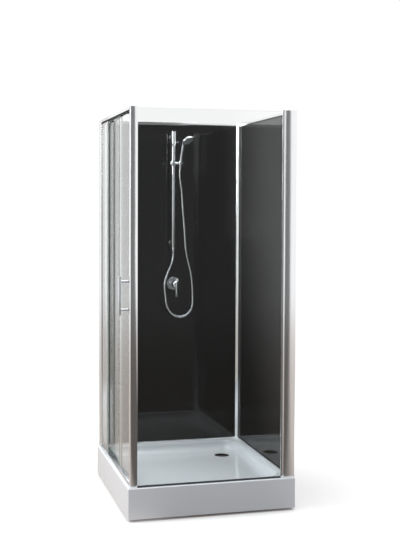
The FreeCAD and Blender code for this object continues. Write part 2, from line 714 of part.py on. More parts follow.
def make_leaf(name, offset, y0, y1, holes=()):
    """One sliding leaf: glass, two carriers with wheels and axles, and two top shoes."""
    x0, x1 = lane(offset)
    middle = (x0 + x1) / 2
    if holes:
        sheet_glass = box(f"{name}_sheet", x0, x1, y0, y1, leaf_z0, leaf_z1)
        drills = [cylinder(f"{name}_drill{number}", D.glass_hole, D.glass_thick,
                           (x0, y, z), TO_RIGHT) for number, (y, z) in enumerate(holes)]
        glass = cut(f"{name}_glass", sheet_glass, *drills)
    else:
        glass = box(f"{name}_glass", x0, x1, y0, y1, leaf_z0, leaf_z1)
    starts = {"fore": y0 + D.carrier_inset, "aft": y1 - D.carrier_inset - D.carrier_length}
    wheels, carriers, axles, guides = [], [], [], []
    half = D.glass_thick / 2 + D.lane_clear - D.carrier_side_gap
    for end, start in starts.items():
        wheel_y = start + D.carrier_length / 2
        carriers.append(make_carrier(f"{name}_carrier_{end}", middle, start, wheel_y))
        wheels.append(make_wheel(f"{name}_wheel_{end}", middle, wheel_y))
        axles.append(cylinder(f"{name}_axle_{end}", D.axle_radius, 2 * half,
                              (middle - half, wheel_y, wheel_z), TO_RIGHT))
        guide_y = start + (D.carrier_length - D.guide_length) / 2
        guides.append(make_guide(f"{name}_guide_{end}", middle, guide_y))
    return [glass, *wheels, group(f"{name}_carriers", *carriers),
            group(f"{name}_axles", *axles), group(f"{name}_top_shoes", *guides)]


handle_y = post_y + D.leaf_gap + D.handle_back
handle_zs = [D.handle_height - D.handle_holes / 2, D.handle_height + D.handle_holes / 2]


def make_leaves():
    outer_y0 = post_y + D.leaf_gap
    outer_y1 = outer_y0 + D.outer_leaf_width
    inner_y0 = post_y + D.inner_leaf_start
    inner_y1 = inner_y0 + D.inner_leaf_width
    pieces = make_leaf("outer_leaf", D.outer_lane, outer_y0, outer_y1,
                       [(handle_y, z) for z in handle_zs])
    pieces += make_leaf("inner_leaf", D.inner_lane, inner_y0, inner_y1)
    x0, x1 = lane(D.outer_lane)
    pieces.append(make_strip("outer_leaf_seal", x0, x1, strike_y + D.seal_gap,
                             outer_y0 + D.strip_grip, outer_y0, outer_y0 + D.strip_grip))
    pieces.append(make_strip("outer_leaf_back_strip", x0, x1, outer_y1 - D.strip_grip,
                             outer_y1 + D.strip_nose, outer_y1 - D.strip_grip, outer_y1))
    pieces.append(box("strike_strip", x0 - D.lane_clear, x1 + D.lane_clear, post_y, strike_y,
                      strip_z0, strip_z1))
    x0, x1 = lane(D.inner_lane)
    pieces.append(make_strip("inner_leaf_front_strip", x0, x1, inner_y0 - D.strip_nose,
                             inner_y0 + D.strip_grip, inner_y0, inner_y0 + D.strip_grip))
    return pieces


def make_handle():
    """Bar handle on two flanged standoffs, screwed through the outer leaf from inside."""
    glass_x0, glass_x1 = lane(D.outer_lane)
    bar_x = glass_x0 - D.handle_reach
    low = D.handle_height - D.handle_length / 2
    chamfer, radius = D.small_chamfer, D.handle_radius
    bar = turned("handle_bar", [
        (0, 0), (radius - chamfer, 0), (radius, chamfer), (radius, D.handle_length - chamfer),
        (radius - chamfer, D.handle_length), (0, D.handle_length)], (bar_x, handle_y, low))
    standoffs, screws = [], []
    thread_x = glass_x0 - D.screw_depth
    for number, z in enumerate(handle_zs):
        post = cylinder(f"standoff{number}_post", D.standoff_radius, D.handle_reach,
                        (bar_x, handle_y, z), TO_RIGHT)
        flange = cylinder(f"standoff{number}_flange", D.flange_radius, D.flange_thick,
                          (glass_x0 - D.flange_thick, handle_y, z), TO_RIGHT)
        saddle = cylinder(f"standoff{number}_saddle", radius, 4 * D.standoff_radius,
                          (bar_x, handle_y, z - 2 * D.standoff_radius))
        thread = cylinder(f"standoff{number}_thread", D.screw_radius, D.screw_depth,
                          (thread_x, handle_y, z), TO_RIGHT)
        solid = fuse(f"standoff{number}_solid", post, flange)
        standoffs.append(cut(f"standoff{number}", solid, saddle, thread))
        shank = cylinder(f"screw{number}_shank", D.screw_radius, glass_x1 - thread_x,
                         (thread_x, handle_y, z), TO_RIGHT)
        head = cylinder(f"screw{number}_head", D.flange_radius, D.screw_head,
                        (glass_x1, handle_y, z), TO_RIGHT)
        screws.append(fuse(f"screw{number}", shank, head))
    return [bar, group("handle_standoffs", *standoffs), group("handle_screws", *screws)]


# ---------------------------------------------------------------- shower rail
rail_y = panel_y - D.rail_off


def make_rail_tube():
    length = D.rail_top - D.rail_bottom
    tube = cylinder("rail_tube_outside", D.rail_radius, length, (D.rail_x, rail_y, D.rail_bottom))
    bore = cylinder("rail_tube_bore", D.rail_radius - D.rail_wall, length,
                    (D.rail_x, rail_y, D.rail_bottom))
    return cut("shower_rail_tube", tube, bore)


def make_rail_plug():
    """Top plug, pushed into the tube."""
    inner = D.rail_radius - D.rail_wall
    outline = [(0, 0), (inner, 0), (inner, D.plug_depth), (D.rail_radius, D.plug_depth),
               (D.rail_radius, D.plug_depth + D.plug_lip), (0, D.plug_depth + D.plug_lip)]
    return turned("rail_top_plug", outline, (D.rail_x, rail_y, D.rail_top - D.plug_depth))


def make_rail_outlet():
    """Bottom plug with the threaded nipple that the hose nut screws onto."""
    inner = D.rail_radius - D.rail_wall
    full = D.nipple_length + D.plug_lip
    outline = [(0, 0), (D.nipple_radius, 0), (D.nipple_radius, D.nipple_length),
               (D.rail_radius, D.nipple_length), (D.rail_radius, full), (inner, full),
               (inner, full + D.plug_depth), (0, full + D.plug_depth)]
    return turned("rail_outlet", outline, (D.rail_x, rail_y, D.rail_bottom - full))


def make_rail_brackets():
    """Two stubs from the back panel to the tube, each with its wall rosette."""
    brackets = []
    for number, z in enumerate((D.rail_bottom + D.stub_inset, D.rail_top - D.stub_inset)):
        name = f"bracket{number}"
        stub = cylinder(f"{name}_stub", D.stub_radius, D.rail_off, (D.rail_x, panel_y, z),
                        TO_FRONT)
        plate = cylinder(f"{name}_plate", D.rosette_radius, D.rosette_thick,
                         (D.rail_x, panel_y, z), TO_FRONT)
        tube = cylinder(f"{name}_tube", D.rail_radius, 4 * D.stub_radius,
                        (D.rail_x, rail_y, z - 2 * D.stub_radius))
        brackets.append(cut(name, fuse(f"{name}_solid", stub, plate), tube))
    return group("rail_brackets", *brackets)


def make_hose_nut():
    """Lower hose nut: hides the nipple and holds the hose's end."""
    bore, length = D.nipple_radius + D.pivot_fit, D.nut_length
    outline = [(0, 0), (D.nut_narrow, 0), (D.nut_wide, length / 2), (D.nut_wide, length),
               (bore, length), (bore, length - D.nipple_length), (0, length - D.nipple_length)]
    z = D.rail_bottom - D.plug_lip - length
    return turned("hose_nut_lower", outline, (D.rail_x, rail_y, z))


# ---------------------------------------------------------------- slider, holder, hand shower
# These are built with the tube's axis as Z and the holder's reach as X, then turned into place.
HOLDER_TURN = about_z(-D.holder_turn)
slider_spot = (D.rail_x, rail_y, D.slider_z)
lean_x, lean_z = sine(D.holder_lean), cosine(D.holder_lean)
LEAN = about_y(D.holder_lean)


def make_slider():
    """Slider ring on the tube with two ears for the holder and a boss for the knob."""
    half = D.slider_length / 2
    outside = D.rail_radius + D.slider_wall
    ring = cylinder("slider_ring", outside, D.slider_length, (0, 0, -half))
    ear_out = D.lug_thick / 2 + D.ear_gap + D.ear_thick
    block = box("slider_block", 0, D.pivot_reach, -ear_out, ear_out, -D.ear_radius, D.ear_radius)
    nose = cylinder("slider_nose", D.ear_radius, 2 * ear_out, (D.pivot_reach, -ear_out, 0),
                    TO_BACK)
    boss = cylinder("slider_boss", D.knob_radius, outside + D.knob_boss, (0, 0, 0),
                    about_z(-D.knob_turn) * TO_RIGHT)
    solid = fuse("slider_solid", ring, block, nose, boss)
    bore = cylinder("slider_bore", D.rail_radius + D.slider_fit, 4 * half, (0, 0, -2 * half))
    gap = D.lug_thick / 2 + D.ear_gap
    slot_start = D.pivot_reach - D.lug_radius - D.ear_gap
    slot = box("slider_slot", slot_start, D.pivot_reach + 2 * D.ear_radius, -gap, gap,
               -2 * D.ear_radius, 2 * D.ear_radius)
    pin = cylinder("slider_pin_hole", D.pivot_radius, 2 * ear_out, (D.pivot_reach, -ear_out, 0),
                   TO_BACK)
    return place(cut("rail_slider", solid, bore, slot, pin), slider_spot, HOLDER_TURN)


def make_slider_knob():
    chamfer, radius, length = D.small_chamfer, D.knob_radius, D.knob_length
    start = D.rail_radius + D.slider_wall + D.knob_boss
    turn = D.holder_turn + D.knob_turn
    spot = (D.rail_x + start * cosine(turn), rail_y - start * sine(turn), D.slider_z)
    outline = [(0, 0), (radius, 0), (radius, length - chamfer), (radius - chamfer, length),
               (0, length)]
    return turned("slider_knob", outline, spot, about_z(-turn) * TO_RIGHT)


def make_pivot_pin():
    reach = D.lug_thick + 2 * D.ear_gap + 2 * D.ear_thick
    pin = cylinder("pivot_pin_rod", D.pivot_radius, reach, (D.pivot_reach, -reach / 2, 0), TO_BACK)
    return place(group("holder_pin", pin), slider_spot, HOLDER_TURN)


def cone_at(along):
    """Radius of the hand shower's cone at a place along its axis, from the holder's middle."""
    share = (along + D.cone_below) / (D.cone_below + D.cone_above)
    return D.cone_low + (D.cone_high - D.cone_low) * share


def on_axis(along):
    """Place on the hand shower's axis, in the holder's frame."""
    return D.holder_reach + along * lean_x, size(0), along * lean_z


def make_holder():
    """Cradle: a ring with a slit for the hose, on a lug between the slider's ears."""
    half = D.holder_length / 2
    outside = D.cone_high + D.holder_wall
    ring = cylinder("holder_ring_solid", outside, D.holder_length, on_axis(-half), LEAN)
    lug = box("holder_lug", D.pivot_reach, D.holder_reach - D.cone_high, -D.lug_thick / 2,
              D.lug_thick / 2, -D.lug_radius, D.lug_radius)
    eye = cylinder("holder_eye", D.lug_radius, D.lug_thick, (D.pivot_reach, -D.lug_thick / 2, 0),
                   TO_BACK)
    solid = fuse("holder_solid", ring, lug, eye)
    seat = cone("holder_seat", cone_at(-half) + D.cone_fit, cone_at(half) + D.cone_fit,
                D.holder_length, on_axis(-half), LEAN)
    slit = box("holder_slit_cut", D.holder_reach, D.holder_reach + 2 * outside,
               -D.holder_slit / 2, D.holder_slit / 2, -2 * half, 2 * half)
    bore = cylinder("holder_bore", D.pivot_radius + D.pivot_fit, D.lug_thick,
                    (D.pivot_reach, -D.lug_thick / 2, 0), TO_BACK)
    return place(cut("shower_holder", solid, seat, slit, bore), slider_spot, HOLDER_TURN)


def in_world(reach, rise):
    """World place of a point given in the holder's frame by its reach and rise."""
    return (D.rail_x + reach * cosine(D.holder_turn), rail_y - reach * sine(D.holder_turn),
            D.slider_z + rise)


def make_cone_nut():
    """Upper hose nut: the cone that stands in the holder."""
    length = D.cone_below + D.cone_above
    outline = [(0, 0), (D.cone_low, 0), (D.cone_high, length), (0, length)]
    reach, _, rise = on_axis(-D.cone_below)
    return turned("hose_nut_upper", outline, in_world(reach, rise), HOLDER_TURN * LEAN)


def make_hand_shower():
    """Curved grip and domed head in one piece, and the spray face set into the head."""
    reach, _, rise = on_axis(D.cone_above)
    climb = 90 - D.holder_lean                  # elevation of the grip's axis at its foot
    bent = climb - D.grip_bend                  # and where the neck begins
    level = D.head_tilt                         # elevation of the head's own plane
    middle = (reach + D.grip_curve * sine(climb), rise - D.grip_curve * cosine(climb))
    neck_start = (middle[0] - D.grip_curve * sine(bent), middle[1] + D.grip_curve * cosine(bent))
    grip = bend("grip_bend", D.grip_curve, D.grip_radius, D.grip_bend,
                (middle[0], 0, middle[1]), about_y(-90 - bent) * TO_FRONT)
    middle = (neck_start[0] + D.neck_curve * sine(bent),
              neck_start[1] - D.neck_curve * cosine(bent))
    neck = bend("neck_bend", D.neck_curve, D.grip_radius, bent - level,
                (middle[0], 0, middle[1]), about_y(-90 - level) * TO_FRONT)
    neck_end = (middle[0] - D.neck_curve * sine(level), middle[1] + D.neck_curve * cosine(level))
    straight = cylinder("neck_straight", D.grip_radius, D.head_offset,
                        (neck_end[0], 0, neck_end[1]), about_y(90 - level))
    x = neck_end[0] + D.head_offset * cosine(level) + D.head_drop * sine(level)
    z = neck_end[1] + D.head_offset * sine(level) - D.head_drop * cosine(level)
    full, seat = D.head_rim + D.head_dome, D.face_thick - D.face_proud
    chamfer, radius = D.small_chamfer, D.head_radius
    shoulder = (radius + D.head_crown) / 2
    outline = [(0, seat), (D.face_radius, seat), (D.face_radius, 0), (radius - chamfer, 0),
               (radius, chamfer), (radius, D.head_rim),
               (shoulder, D.head_rim + 0.75 * D.head_dome), (D.head_crown, full), (0, full)]
    head = turned("head_shell", outline, (x, 0, z), about_y(-level))
    hole = cylinder("head_recess", D.face_radius, seat, (x, 0, z), about_y(-level))
    shower = cut("hand_shower", fuse("hand_shower_solid", grip, neck, straight, head), hole)
    face = cylinder("spray_plate", D.face_radius, D.face_thick,
                    (x + D.face_proud * sine(level), 0, z - D.face_proud * cosine(level)),
                    about_y(-level))
    return [place(shower, slider_spot, HOLDER_TURN),
            place(group("spray_face", face), slider_spot, HOLDER_TURN)]


# ---------------------------------------------------------------- mixer
def make_mixer():
    """Wall rosette, ball-ended body, and the cap with its hanging lever."""
    bore = D.neck_radius + D.slot_clear
    rosette = turned("mixer_rosette", [
        (bore, 0), (D.plate_radius, 0), (D.plate_radius, D.plate_thick - D.small_chamfer),
        (D.plate_radius - D.small_chamfer, D.plate_thick), (bore, D.plate_thick)],
        (D.mixer_x, panel_y, D.mixer_z), TO_FRONT)
    ball_y = panel_y - D.ball_off
    centre = (D.mixer_x, ball_y, D.mixer_z)
    neck = cylinder("mixer_neck", D.neck_radius, D.ball_off, (D.mixer_x, panel_y, D.mixer_z),
                    TO_FRONT)
    body = fuse("mixer_body", neck, ball("mixer_ball", D.ball_radius, centre))
    inner = D.ball_radius + D.shell_gap
    outer = inner + D.shell_wall
    back_half = box("mixer_cap_trim", D.mixer_x - 2 * outer, D.mixer_x + 2 * outer,
                    ball_y + D.shell_skirt, ball_y + 2 * outer, D.mixer_z - 2 * outer,
                    D.mixer_z + 2 * outer)
    lever_y = ball_y - D.lever_off
    foot = D.mixer_z + D.lever_lap - D.lever_length
    rod = cylinder("lever_rod", D.lever_radius, D.lever_length, (D.mixer_x, lever_y, foot))
    eye_back = (D.mixer_x, lever_y + D.eye_thick / 2, foot)
    eye = cylinder("lever_eye", D.lever_eye, D.eye_thick, eye_back, TO_FRONT)
    hole = cylinder("lever_eye_hole", D.eye_hole, D.eye_thick, eye_back, TO_FRONT)
    solid = fuse("mixer_lever_solid", ball("mixer_cap", outer, centre), rod, eye)
    lever = cut("mixer_lever", solid, back_half, ball("mixer_cap_hollow", inner, centre), hole)
    return [rosette, body, lever]


# ---------------------------------------------------------------- hose
HOSE_BENDS = [
    (-43, 350, 1208), (-69, 345, 1133), (-58, 341, 1059), (-56, 338, 1010), (-16, 335, 948),
    (53, 332, 939), (104, 329, 986), (104, 327, 1076), (96, 325, 1191), (59, 323, 1322),
    (52, 322, 1452), (39, 321, 1580), (33, 320, 1694),
]


def hose_points():
    """Ends on the two nuts, with the hand-chosen bends between them."""
    foot = D.rail_bottom - D.plug_lip - D.nut_length
    reach, _, rise = on_axis(-D.cone_below)
    below, _, low = on_axis(-D.cone_below - D.hose_lead)
    points = [(D.rail_x, rail_y, foot), (D.rail_x, rail_y, foot - D.hose_lead)] + HOSE_BENDS
    points += [in_world(below, low), in_world(reach, rise)]
    return [Vec(*(size(part).value for part in point)) for point in points]


def make_hose():
    """Straight runs joined by tangent arcs, swept with the hose's round section."""
    points = hose_points()
    edges, start, radii = [], points[0], []
    for before, corner, after in zip(points, points[1:], points[2:]):
        arrive, leave = corner - before, after - corner
        reach = 0.45 * min(arrive.Length, leave.Length)
        radii.append(reach / math.tan(arrive.getAngle(leave) / 2))
        entry = corner - arrive.normalize() * reach
        exit_point = corner + leave.normalize() * reach
        half = (corner - (entry + exit_point) * 0.5).normalize()
        middle = corner - half * (math.hypot(radii[-1], reach) - radii[-1])
        edges += [Part.LineSegment(start, entry).toShape(),
                  Part.Arc(entry, middle, exit_point).toShape()]
        start = exit_point
    edges.append(Part.LineSegment(start, points[-1]).toShape())
    route = add("Part::Feature", "hose_route")
    route.Shape = Part.Wire(edges)
    section = add("Part::Circle", "hose_section")
    bind(section, "Radius", D.hose_radius)
    section.Placement = FreeCAD.Placement(points[0], FreeCAD.Rotation(
        Vec(0, 0, 1), points[1] - points[0]))
    hose = add("Part::Sweep", "shower_hose")
    hose.Sections = [section]
    hose.Spine = (route, [f"Edge{n}" for n in range(1, len(edges) + 1)])
    hose.Solid = True
    hose.Frenet = False
    DOC.recompute()
    expected = route.Shape.Length * math.pi * D.hose_radius.value ** 2
    print("hose length", round(route.Shape.Length, 1), "radii", [round(r) for r in radii],
          "volume share", round(hose.Shape.Volume / expected, 4))
    return hose


# ---------------------------------------------------------------- build, check and write
def build_all():
    nodes = [make_tray(), make_board()]
    bars = [make_support_bar(f"support_bar{number}", y, feet)
            for number, (y, feet) in enumerate((
                (-D.foot_y, FEET[:2]), (size(0), FEET[2:3]), (D.foot_y, FEET[3:])))]
    nodes += [group("support_bars", *bars), *make_feet()]
    nodes += [make_post(), make_front_jamb(), make_front_channel(), make_back_jamb(),
              make_back_channel(), make_corner_profile(), *make_edge_rails(),
              *make_wall_panels(), *make_front(), *make_rails(), *make_fixed_pane()]
    nodes += [*make_leaves(), *make_handle()]
    nodes += [make_rail_tube(), make_rail_plug(), make_rail_outlet(), make_rail_brackets(),
              make_hose_nut(), make_slider(), make_slider_knob(), make_pivot_pin(),
              make_holder(), make_cone_nut(), *make_hand_shower(), *make_mixer(), make_hose()]
    return nodes


NODES = build_all()
DOC.recompute()

for thing in DOC.Objects:
    bad = {"Invalid", "Error"} & set(thing.State)
    assert not bad, f"{thing.Label}: {thing.State} {thing.getStatusString()}"

os.makedirs("parts", exist_ok=True)
for node in NODES:
    shape = node.Shape
    assert not shape.isNull() and shape.isValid() and shape.Volume > 0, node.Label
    shape.exportStep(f"parts/{node.Label}.step")
print(len(NODES), "nodes written")
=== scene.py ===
"""Looks of a square shower enclosure: finishes, detail pieces, light and camera.

Lengths are metres in the row frame: origin on the floor under the middle of the tray, X to the
right along the fixed glass front, Y towards the back wall panel, Z up.
"""

import json
import logging
import math
from dataclasses import dataclass, field
from typing import Any, Optional, Sequence

import bmesh
import bpy
from mathutils import Matrix, Vector

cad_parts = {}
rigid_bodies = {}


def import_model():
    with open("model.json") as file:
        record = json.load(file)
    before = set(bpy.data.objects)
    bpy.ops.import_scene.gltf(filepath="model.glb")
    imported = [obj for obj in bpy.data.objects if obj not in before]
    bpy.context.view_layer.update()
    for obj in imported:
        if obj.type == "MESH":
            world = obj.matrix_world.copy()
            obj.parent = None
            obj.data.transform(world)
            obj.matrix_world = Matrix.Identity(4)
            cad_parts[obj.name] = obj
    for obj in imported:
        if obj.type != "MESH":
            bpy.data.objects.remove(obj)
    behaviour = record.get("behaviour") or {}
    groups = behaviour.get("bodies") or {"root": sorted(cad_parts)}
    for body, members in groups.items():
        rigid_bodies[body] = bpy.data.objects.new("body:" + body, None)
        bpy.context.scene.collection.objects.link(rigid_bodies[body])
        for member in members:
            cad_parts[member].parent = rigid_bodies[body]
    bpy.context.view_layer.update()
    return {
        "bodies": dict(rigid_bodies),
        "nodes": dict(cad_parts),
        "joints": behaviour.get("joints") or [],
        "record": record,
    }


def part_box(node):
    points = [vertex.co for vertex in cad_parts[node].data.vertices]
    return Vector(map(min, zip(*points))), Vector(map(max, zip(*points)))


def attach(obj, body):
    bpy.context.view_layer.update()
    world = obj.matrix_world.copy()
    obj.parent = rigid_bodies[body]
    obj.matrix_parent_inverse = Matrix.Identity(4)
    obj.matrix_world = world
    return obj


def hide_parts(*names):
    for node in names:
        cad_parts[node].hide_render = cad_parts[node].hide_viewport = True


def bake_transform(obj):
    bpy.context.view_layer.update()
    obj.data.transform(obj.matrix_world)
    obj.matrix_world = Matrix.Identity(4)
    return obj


LOG = logging.getLogger("shower_enclosure")
Point = tuple[float, float, float]
MM = 0.001


def linear(hex_colour: str) -> tuple[float, float, float, float]:
    """Turn an sRGB hex colour into linear RGBA.

    Args:
        hex_colour: six hex digits with a leading #.

    Returns:
        The linear red, green and blue, and an alpha of 1.
    """
    parts = [int(hex_colour[i:i + 2], 16) / 255 for i in (1, 3, 5)]
    flat = [c / 12.92 if c <= 0.04045 else ((c + 0.055) / 1.055) ** 2.4 for c in parts]
    return flat[0], flat[1], flat[2], 1.0


def add_node(tree: bpy.types.NodeTree, kind: str, inputs: Optional[dict[Any, Any]] = None,
             **settings: Any) -> bpy.types.Node:
    """Add a node, set its properties and fill or link its inputs.

    Args:
        tree: the node tree that gets the node.
        kind: the node's type name.
        inputs: socket name or index mapped to a value, or to the output socket that feeds it.
        settings: properties of the node.

    Returns:
        The new node.
    """
    node = tree.nodes.new(kind)
    for name, value in settings.items():
        setattr(node, name, value)
    for name, value in (inputs or {}).items():
        if isinstance(value, bpy.types.NodeSocket):
            tree.links.new(value, node.inputs[name])
        else:
            node.inputs[name].default_value = value
    return node


def step(tree: bpy.types.NodeTree, value: bpy.types.NodeSocket, start: float, end: float
         ) -> bpy.types.NodeSocket:
    """Smooth step of a value from 0 at start to 1 at end, which may be the lower one."""
    return add_node(tree, "ShaderNodeMapRange", {
        "Value": value, "From Min": start, "From Max": end},
        interpolation_type="SMOOTHSTEP").outputs["Result"]


# ---------------------------------------------------------------- finishes
@dataclass(frozen=True)
class Finish:
    """A surface finish built on one Principled shader.

    Grain is the size in millimetres of the pattern that breaks up the roughness; grain_stretch
    draws it out along Z, as drawing or extruding does.
    """

    name: str
    slot: str
    colour: str
    roughness: float
    metallic: float = 0.0
    ior: float = 1.5
    roughness_spread: float = 0.0
    grain: float = 40.0
    grain_stretch: float = 1.0
    tone_spread: float = 0.0
    bump: float = 0.0
    bump_grain: float = 1.0
    coat: float = 0.0

    def material(self) -> bpy.types.Material:
        """Return the finish's material, built on its first use."""
        found = bpy.data.materials.get(self.name)
        if found:
            return found
        material = bpy.data.materials.new(self.name)
        material.use_nodes = True
        tree = material.node_tree
        tree.nodes.clear()
        output = add_node(tree, "ShaderNodeOutputMaterial")
        tree.links.new(self.surface(tree), output.inputs["Surface"])
        return material

    def noise(self, tree: bpy.types.NodeTree, grain: float, detail: float = 3.0
              ) -> bpy.types.NodeSocket:
        """Noise in object space whose blobs are grain millimetres wide, drawn out along Z."""
        place = add_node(tree, "ShaderNodeTexCoord").outputs["Object"]
        scale = 1.0 / (grain * MM)
        stretched = add_node(tree, "ShaderNodeMapping", {
            "Vector": place, "Scale": (scale, scale, scale / self.grain_stretch)})
        return add_node(tree, "ShaderNodeTexNoise", {
            "Vector": stretched.outputs["Vector"], "Scale": 1.0, "Detail": detail,
            "Roughness": 0.55}).outputs["Fac"]

    def spread(self, tree: bpy.types.NodeTree, source: bpy.types.NodeSocket, low: float,
               high: float) -> bpy.types.NodeSocket:
        """Map noise onto the range from low to high."""
        return add_node(tree, "ShaderNodeMapRange", {
            "Value": source, "From Min": 0.3, "From Max": 0.7, "To Min": low,
            "To Max": high}).outputs["Result"]

    def shader(self, tree: bpy.types.NodeTree) -> bpy.types.Node:
        """Principled shader with the finish's plain values and its noise patterns."""
        values: dict[Any, Any] = {"Base Color": linear(self.colour), "Metallic": self.metallic,
                                  "Roughness": self.roughness, "IOR": self.ior,
                                  "Coat Weight": self.coat}
        if self.roughness_spread:
            values["Roughness"] = self.spread(
                tree, self.noise(tree, self.grain), self.roughness,
                self.roughness + self.roughness_spread)
        if self.tone_spread:
            shade = self.spread(tree, self.noise(tree, self.grain * 3), 1 - self.tone_spread, 1)
            values["Base Color"] = add_node(tree, "ShaderNodeMix", {
                "Factor": 1.0, 6: linear(self.colour), 7: add_node(
                    tree, "ShaderNodeCombineColor", {"Red": shade, "Green": shade,
                                                     "Blue": shade}).outputs["Color"]},
                data_type="RGBA", blend_type="MULTIPLY").outputs[2]
        if self.bump:
            values["Normal"] = add_node(tree, "ShaderNodeBump", {
                "Height": self.noise(tree, self.bump_grain), "Strength": 1.0,
                "Distance": self.bump * MM}).outputs["Normal"]
        return add_node(tree, "ShaderNodeBsdfPrincipled", values)

    def surface(self, tree: bpy.types.NodeTree) -> bpy.types.NodeSocket:
        """Return the socket that the material's output takes."""
        return self.shader(tree).outputs["BSDF"]


@dataclass(frozen=True)
class ClearGlass(Finish):
    """Toughened float glass: bends little, mirrors at a flat angle and lets lamps through."""

    def surface(self, tree: bpy.types.NodeTree) -> bpy.types.NodeSocket:
        """Mix the glass with plain transparency for lamp and diffuse rays."""
        glass = self.shader(tree)
        glass.inputs["Transmission Weight"].default_value = 1.0
        clear = add_node(tree, "ShaderNodeBsdfTransparent", {"Color": linear("#F6F9F8")})
        rays = add_node(tree, "ShaderNodeLightPath")
        either = add_node(tree, "ShaderNodeMath", {
            0: rays.outputs["Is Shadow Ray"], 1: rays.outputs["Is Diffuse Ray"]},
            operation="MAXIMUM")
        return add_node(tree, "ShaderNodeMixShader", {
            "Fac": either.outputs[0], 1: glass.outputs["BSDF"],
            2: clear.outputs["BSDF"]}).outputs["Shader"]


@dataclass(frozen=True)
class Room:
    """How bright the room round the object is, by bearing from -Y towards X in degrees.

    Only rays that have bounced see it: camera and transmission rays see white. The edges of its
    walls are fitted to the default camera's view.
    """

    right_wall: tuple[float, float] = (17.3, 21.0)
    left_wall: tuple[float, float] = (-22.0, -42.0)
    dim: float = 0.2
    fill: float = 1.05

    def light(self, tree: bpy.types.NodeTree, right: bpy.types.NodeSocket,
              left: bpy.types.NodeSocket, *others: bpy.types.NodeSocket
              ) -> bpy.types.NodeSocket:
        """Brightness for a bearing that is measured for the right and for the left wall.

        Args:
            tree: the node tree.
            right: bearing in radians that the right wall's edge is compared with.
            left: bearing in radians that the left wall's edge is compared with.
            others: further shares, from 0 to 1, that brighten it too.

        Returns:
            A socket with the brightness.
        """
        shares = [step(tree, right, *(math.radians(edge) for edge in self.right_wall)),
                  step(tree, left, *(math.radians(edge) for edge in self.left_wall)), *others]
        bright = shares[0]
        for share in shares[1:]:
            bright = add_node(tree, "ShaderNodeMath", {0: bright, 1: share},
                              operation="MAXIMUM").outputs[0]
        return add_node(tree, "ShaderNodeMapRange", {
            "Value": bright, "To Min": self.dim, "To Max": self.fill}).outputs["Result"]


ROOM = Room()


@dataclass(frozen=True)
class StudioFloor(Finish):
    """Matt paper: keeps the shadow round the object, white further off; for bounced rays a glow
    in Room's tones, a painted reflection.

    mirror_from has the default camera's X and lies about where a mirror puts that camera. It
    places the edge of Room's tones on the floor as that view shows it in reflections.
    """

    near: float = 1.3
    far: float = 4.0
    mirror_from: Point = (-1.42, 5.0, 0.0)
    painted_reflection_tone: str = "#C8BFB8"

    def bearing(self, tree: bpy.types.NodeTree, place: bpy.types.NodeSocket, eye: Point
                ) -> bpy.types.NodeSocket:
        """Bearing of a place on the floor from eye, from -Y towards X, in radians."""
        spot = add_node(tree, "ShaderNodeSeparateXYZ", {"Vector": place}).outputs
        aside = add_node(tree, "ShaderNodeMath", {0: spot["X"], 1: eye[0]},
                         operation="SUBTRACT").outputs[0]
        ahead = add_node(tree, "ShaderNodeMath", {0: eye[1], 1: spot["Y"]},
                         operation="SUBTRACT").outputs[0]
        return add_node(tree, "ShaderNodeMath", {0: aside, 1: ahead},
                        operation="ARCTAN2").outputs[0]

    def surface(self, tree: bpy.types.NodeTree) -> bpy.types.NodeSocket:
        """Mix the paper with white by distance, and for bounced rays with a glow in the room's
        tone, a painted reflection.
        """
        paper = self.shader(tree).outputs["BSDF"]
        white = add_node(tree, "ShaderNodeEmission", {"Strength": 1.0}).outputs["Emission"]
        place = add_node(tree, "ShaderNodeTexCoord").outputs["Object"]
        away = add_node(tree, "ShaderNodeVectorMath", {0: place}, operation="LENGTH")
        fade = step(tree, away.outputs["Value"], self.near, self.far)
        rays = add_node(tree, "ShaderNodeLightPath").outputs
        direct = add_node(tree, "ShaderNodeMath", {
            0: rays["Is Camera Ray"], 1: rays["Is Transmission Ray"]},
            operation="MAXIMUM").outputs[0]
        share = add_node(tree, "ShaderNodeMath", {0: fade, 1: direct}, operation="MULTIPLY")
        seen = add_node(tree, "ShaderNodeMixShader", {
            "Fac": share.outputs[0], 1: paper, 2: white}).outputs["Shader"]
        light = ROOM.light(tree, self.bearing(tree, place, self.mirror_from),
                           self.bearing(tree, place, (0.0, 0.0, 0.0)))
        distant = step(tree, away.outputs["Value"], 0.0, 12.0)
        tone = add_node(tree, "ShaderNodeMix", {
            "Factor": distant, 6: linear(self.painted_reflection_tone), 7: (1.0, 1.0, 1.0, 1.0)},
            data_type="RGBA")
        # Painted light: for bounced rays the floor glows in the room's tone. Glass and metal
        # mirror it as a painted reflection, and it lights the object as a glow.
        painted_reflection_glow = add_node(tree, "ShaderNodeEmission", {
            "Color": tone.outputs[2], "Strength": light}).outputs["Emission"]
        depth = add_node(tree, "ShaderNodeMath", {
            0: rays["Glossy Depth"], 1: rays["Diffuse Depth"]}, operation="ADD").outputs[0]
        bounced = add_node(tree, "ShaderNodeMath", {0: depth, 1: 0.5},
                           operation="GREATER_THAN").outputs[0]
        return add_node(tree, "ShaderNodeMixShader", {
            "Fac": bounced, 1: seen, 2: painted_reflection_glow}).outputs["Shader"]


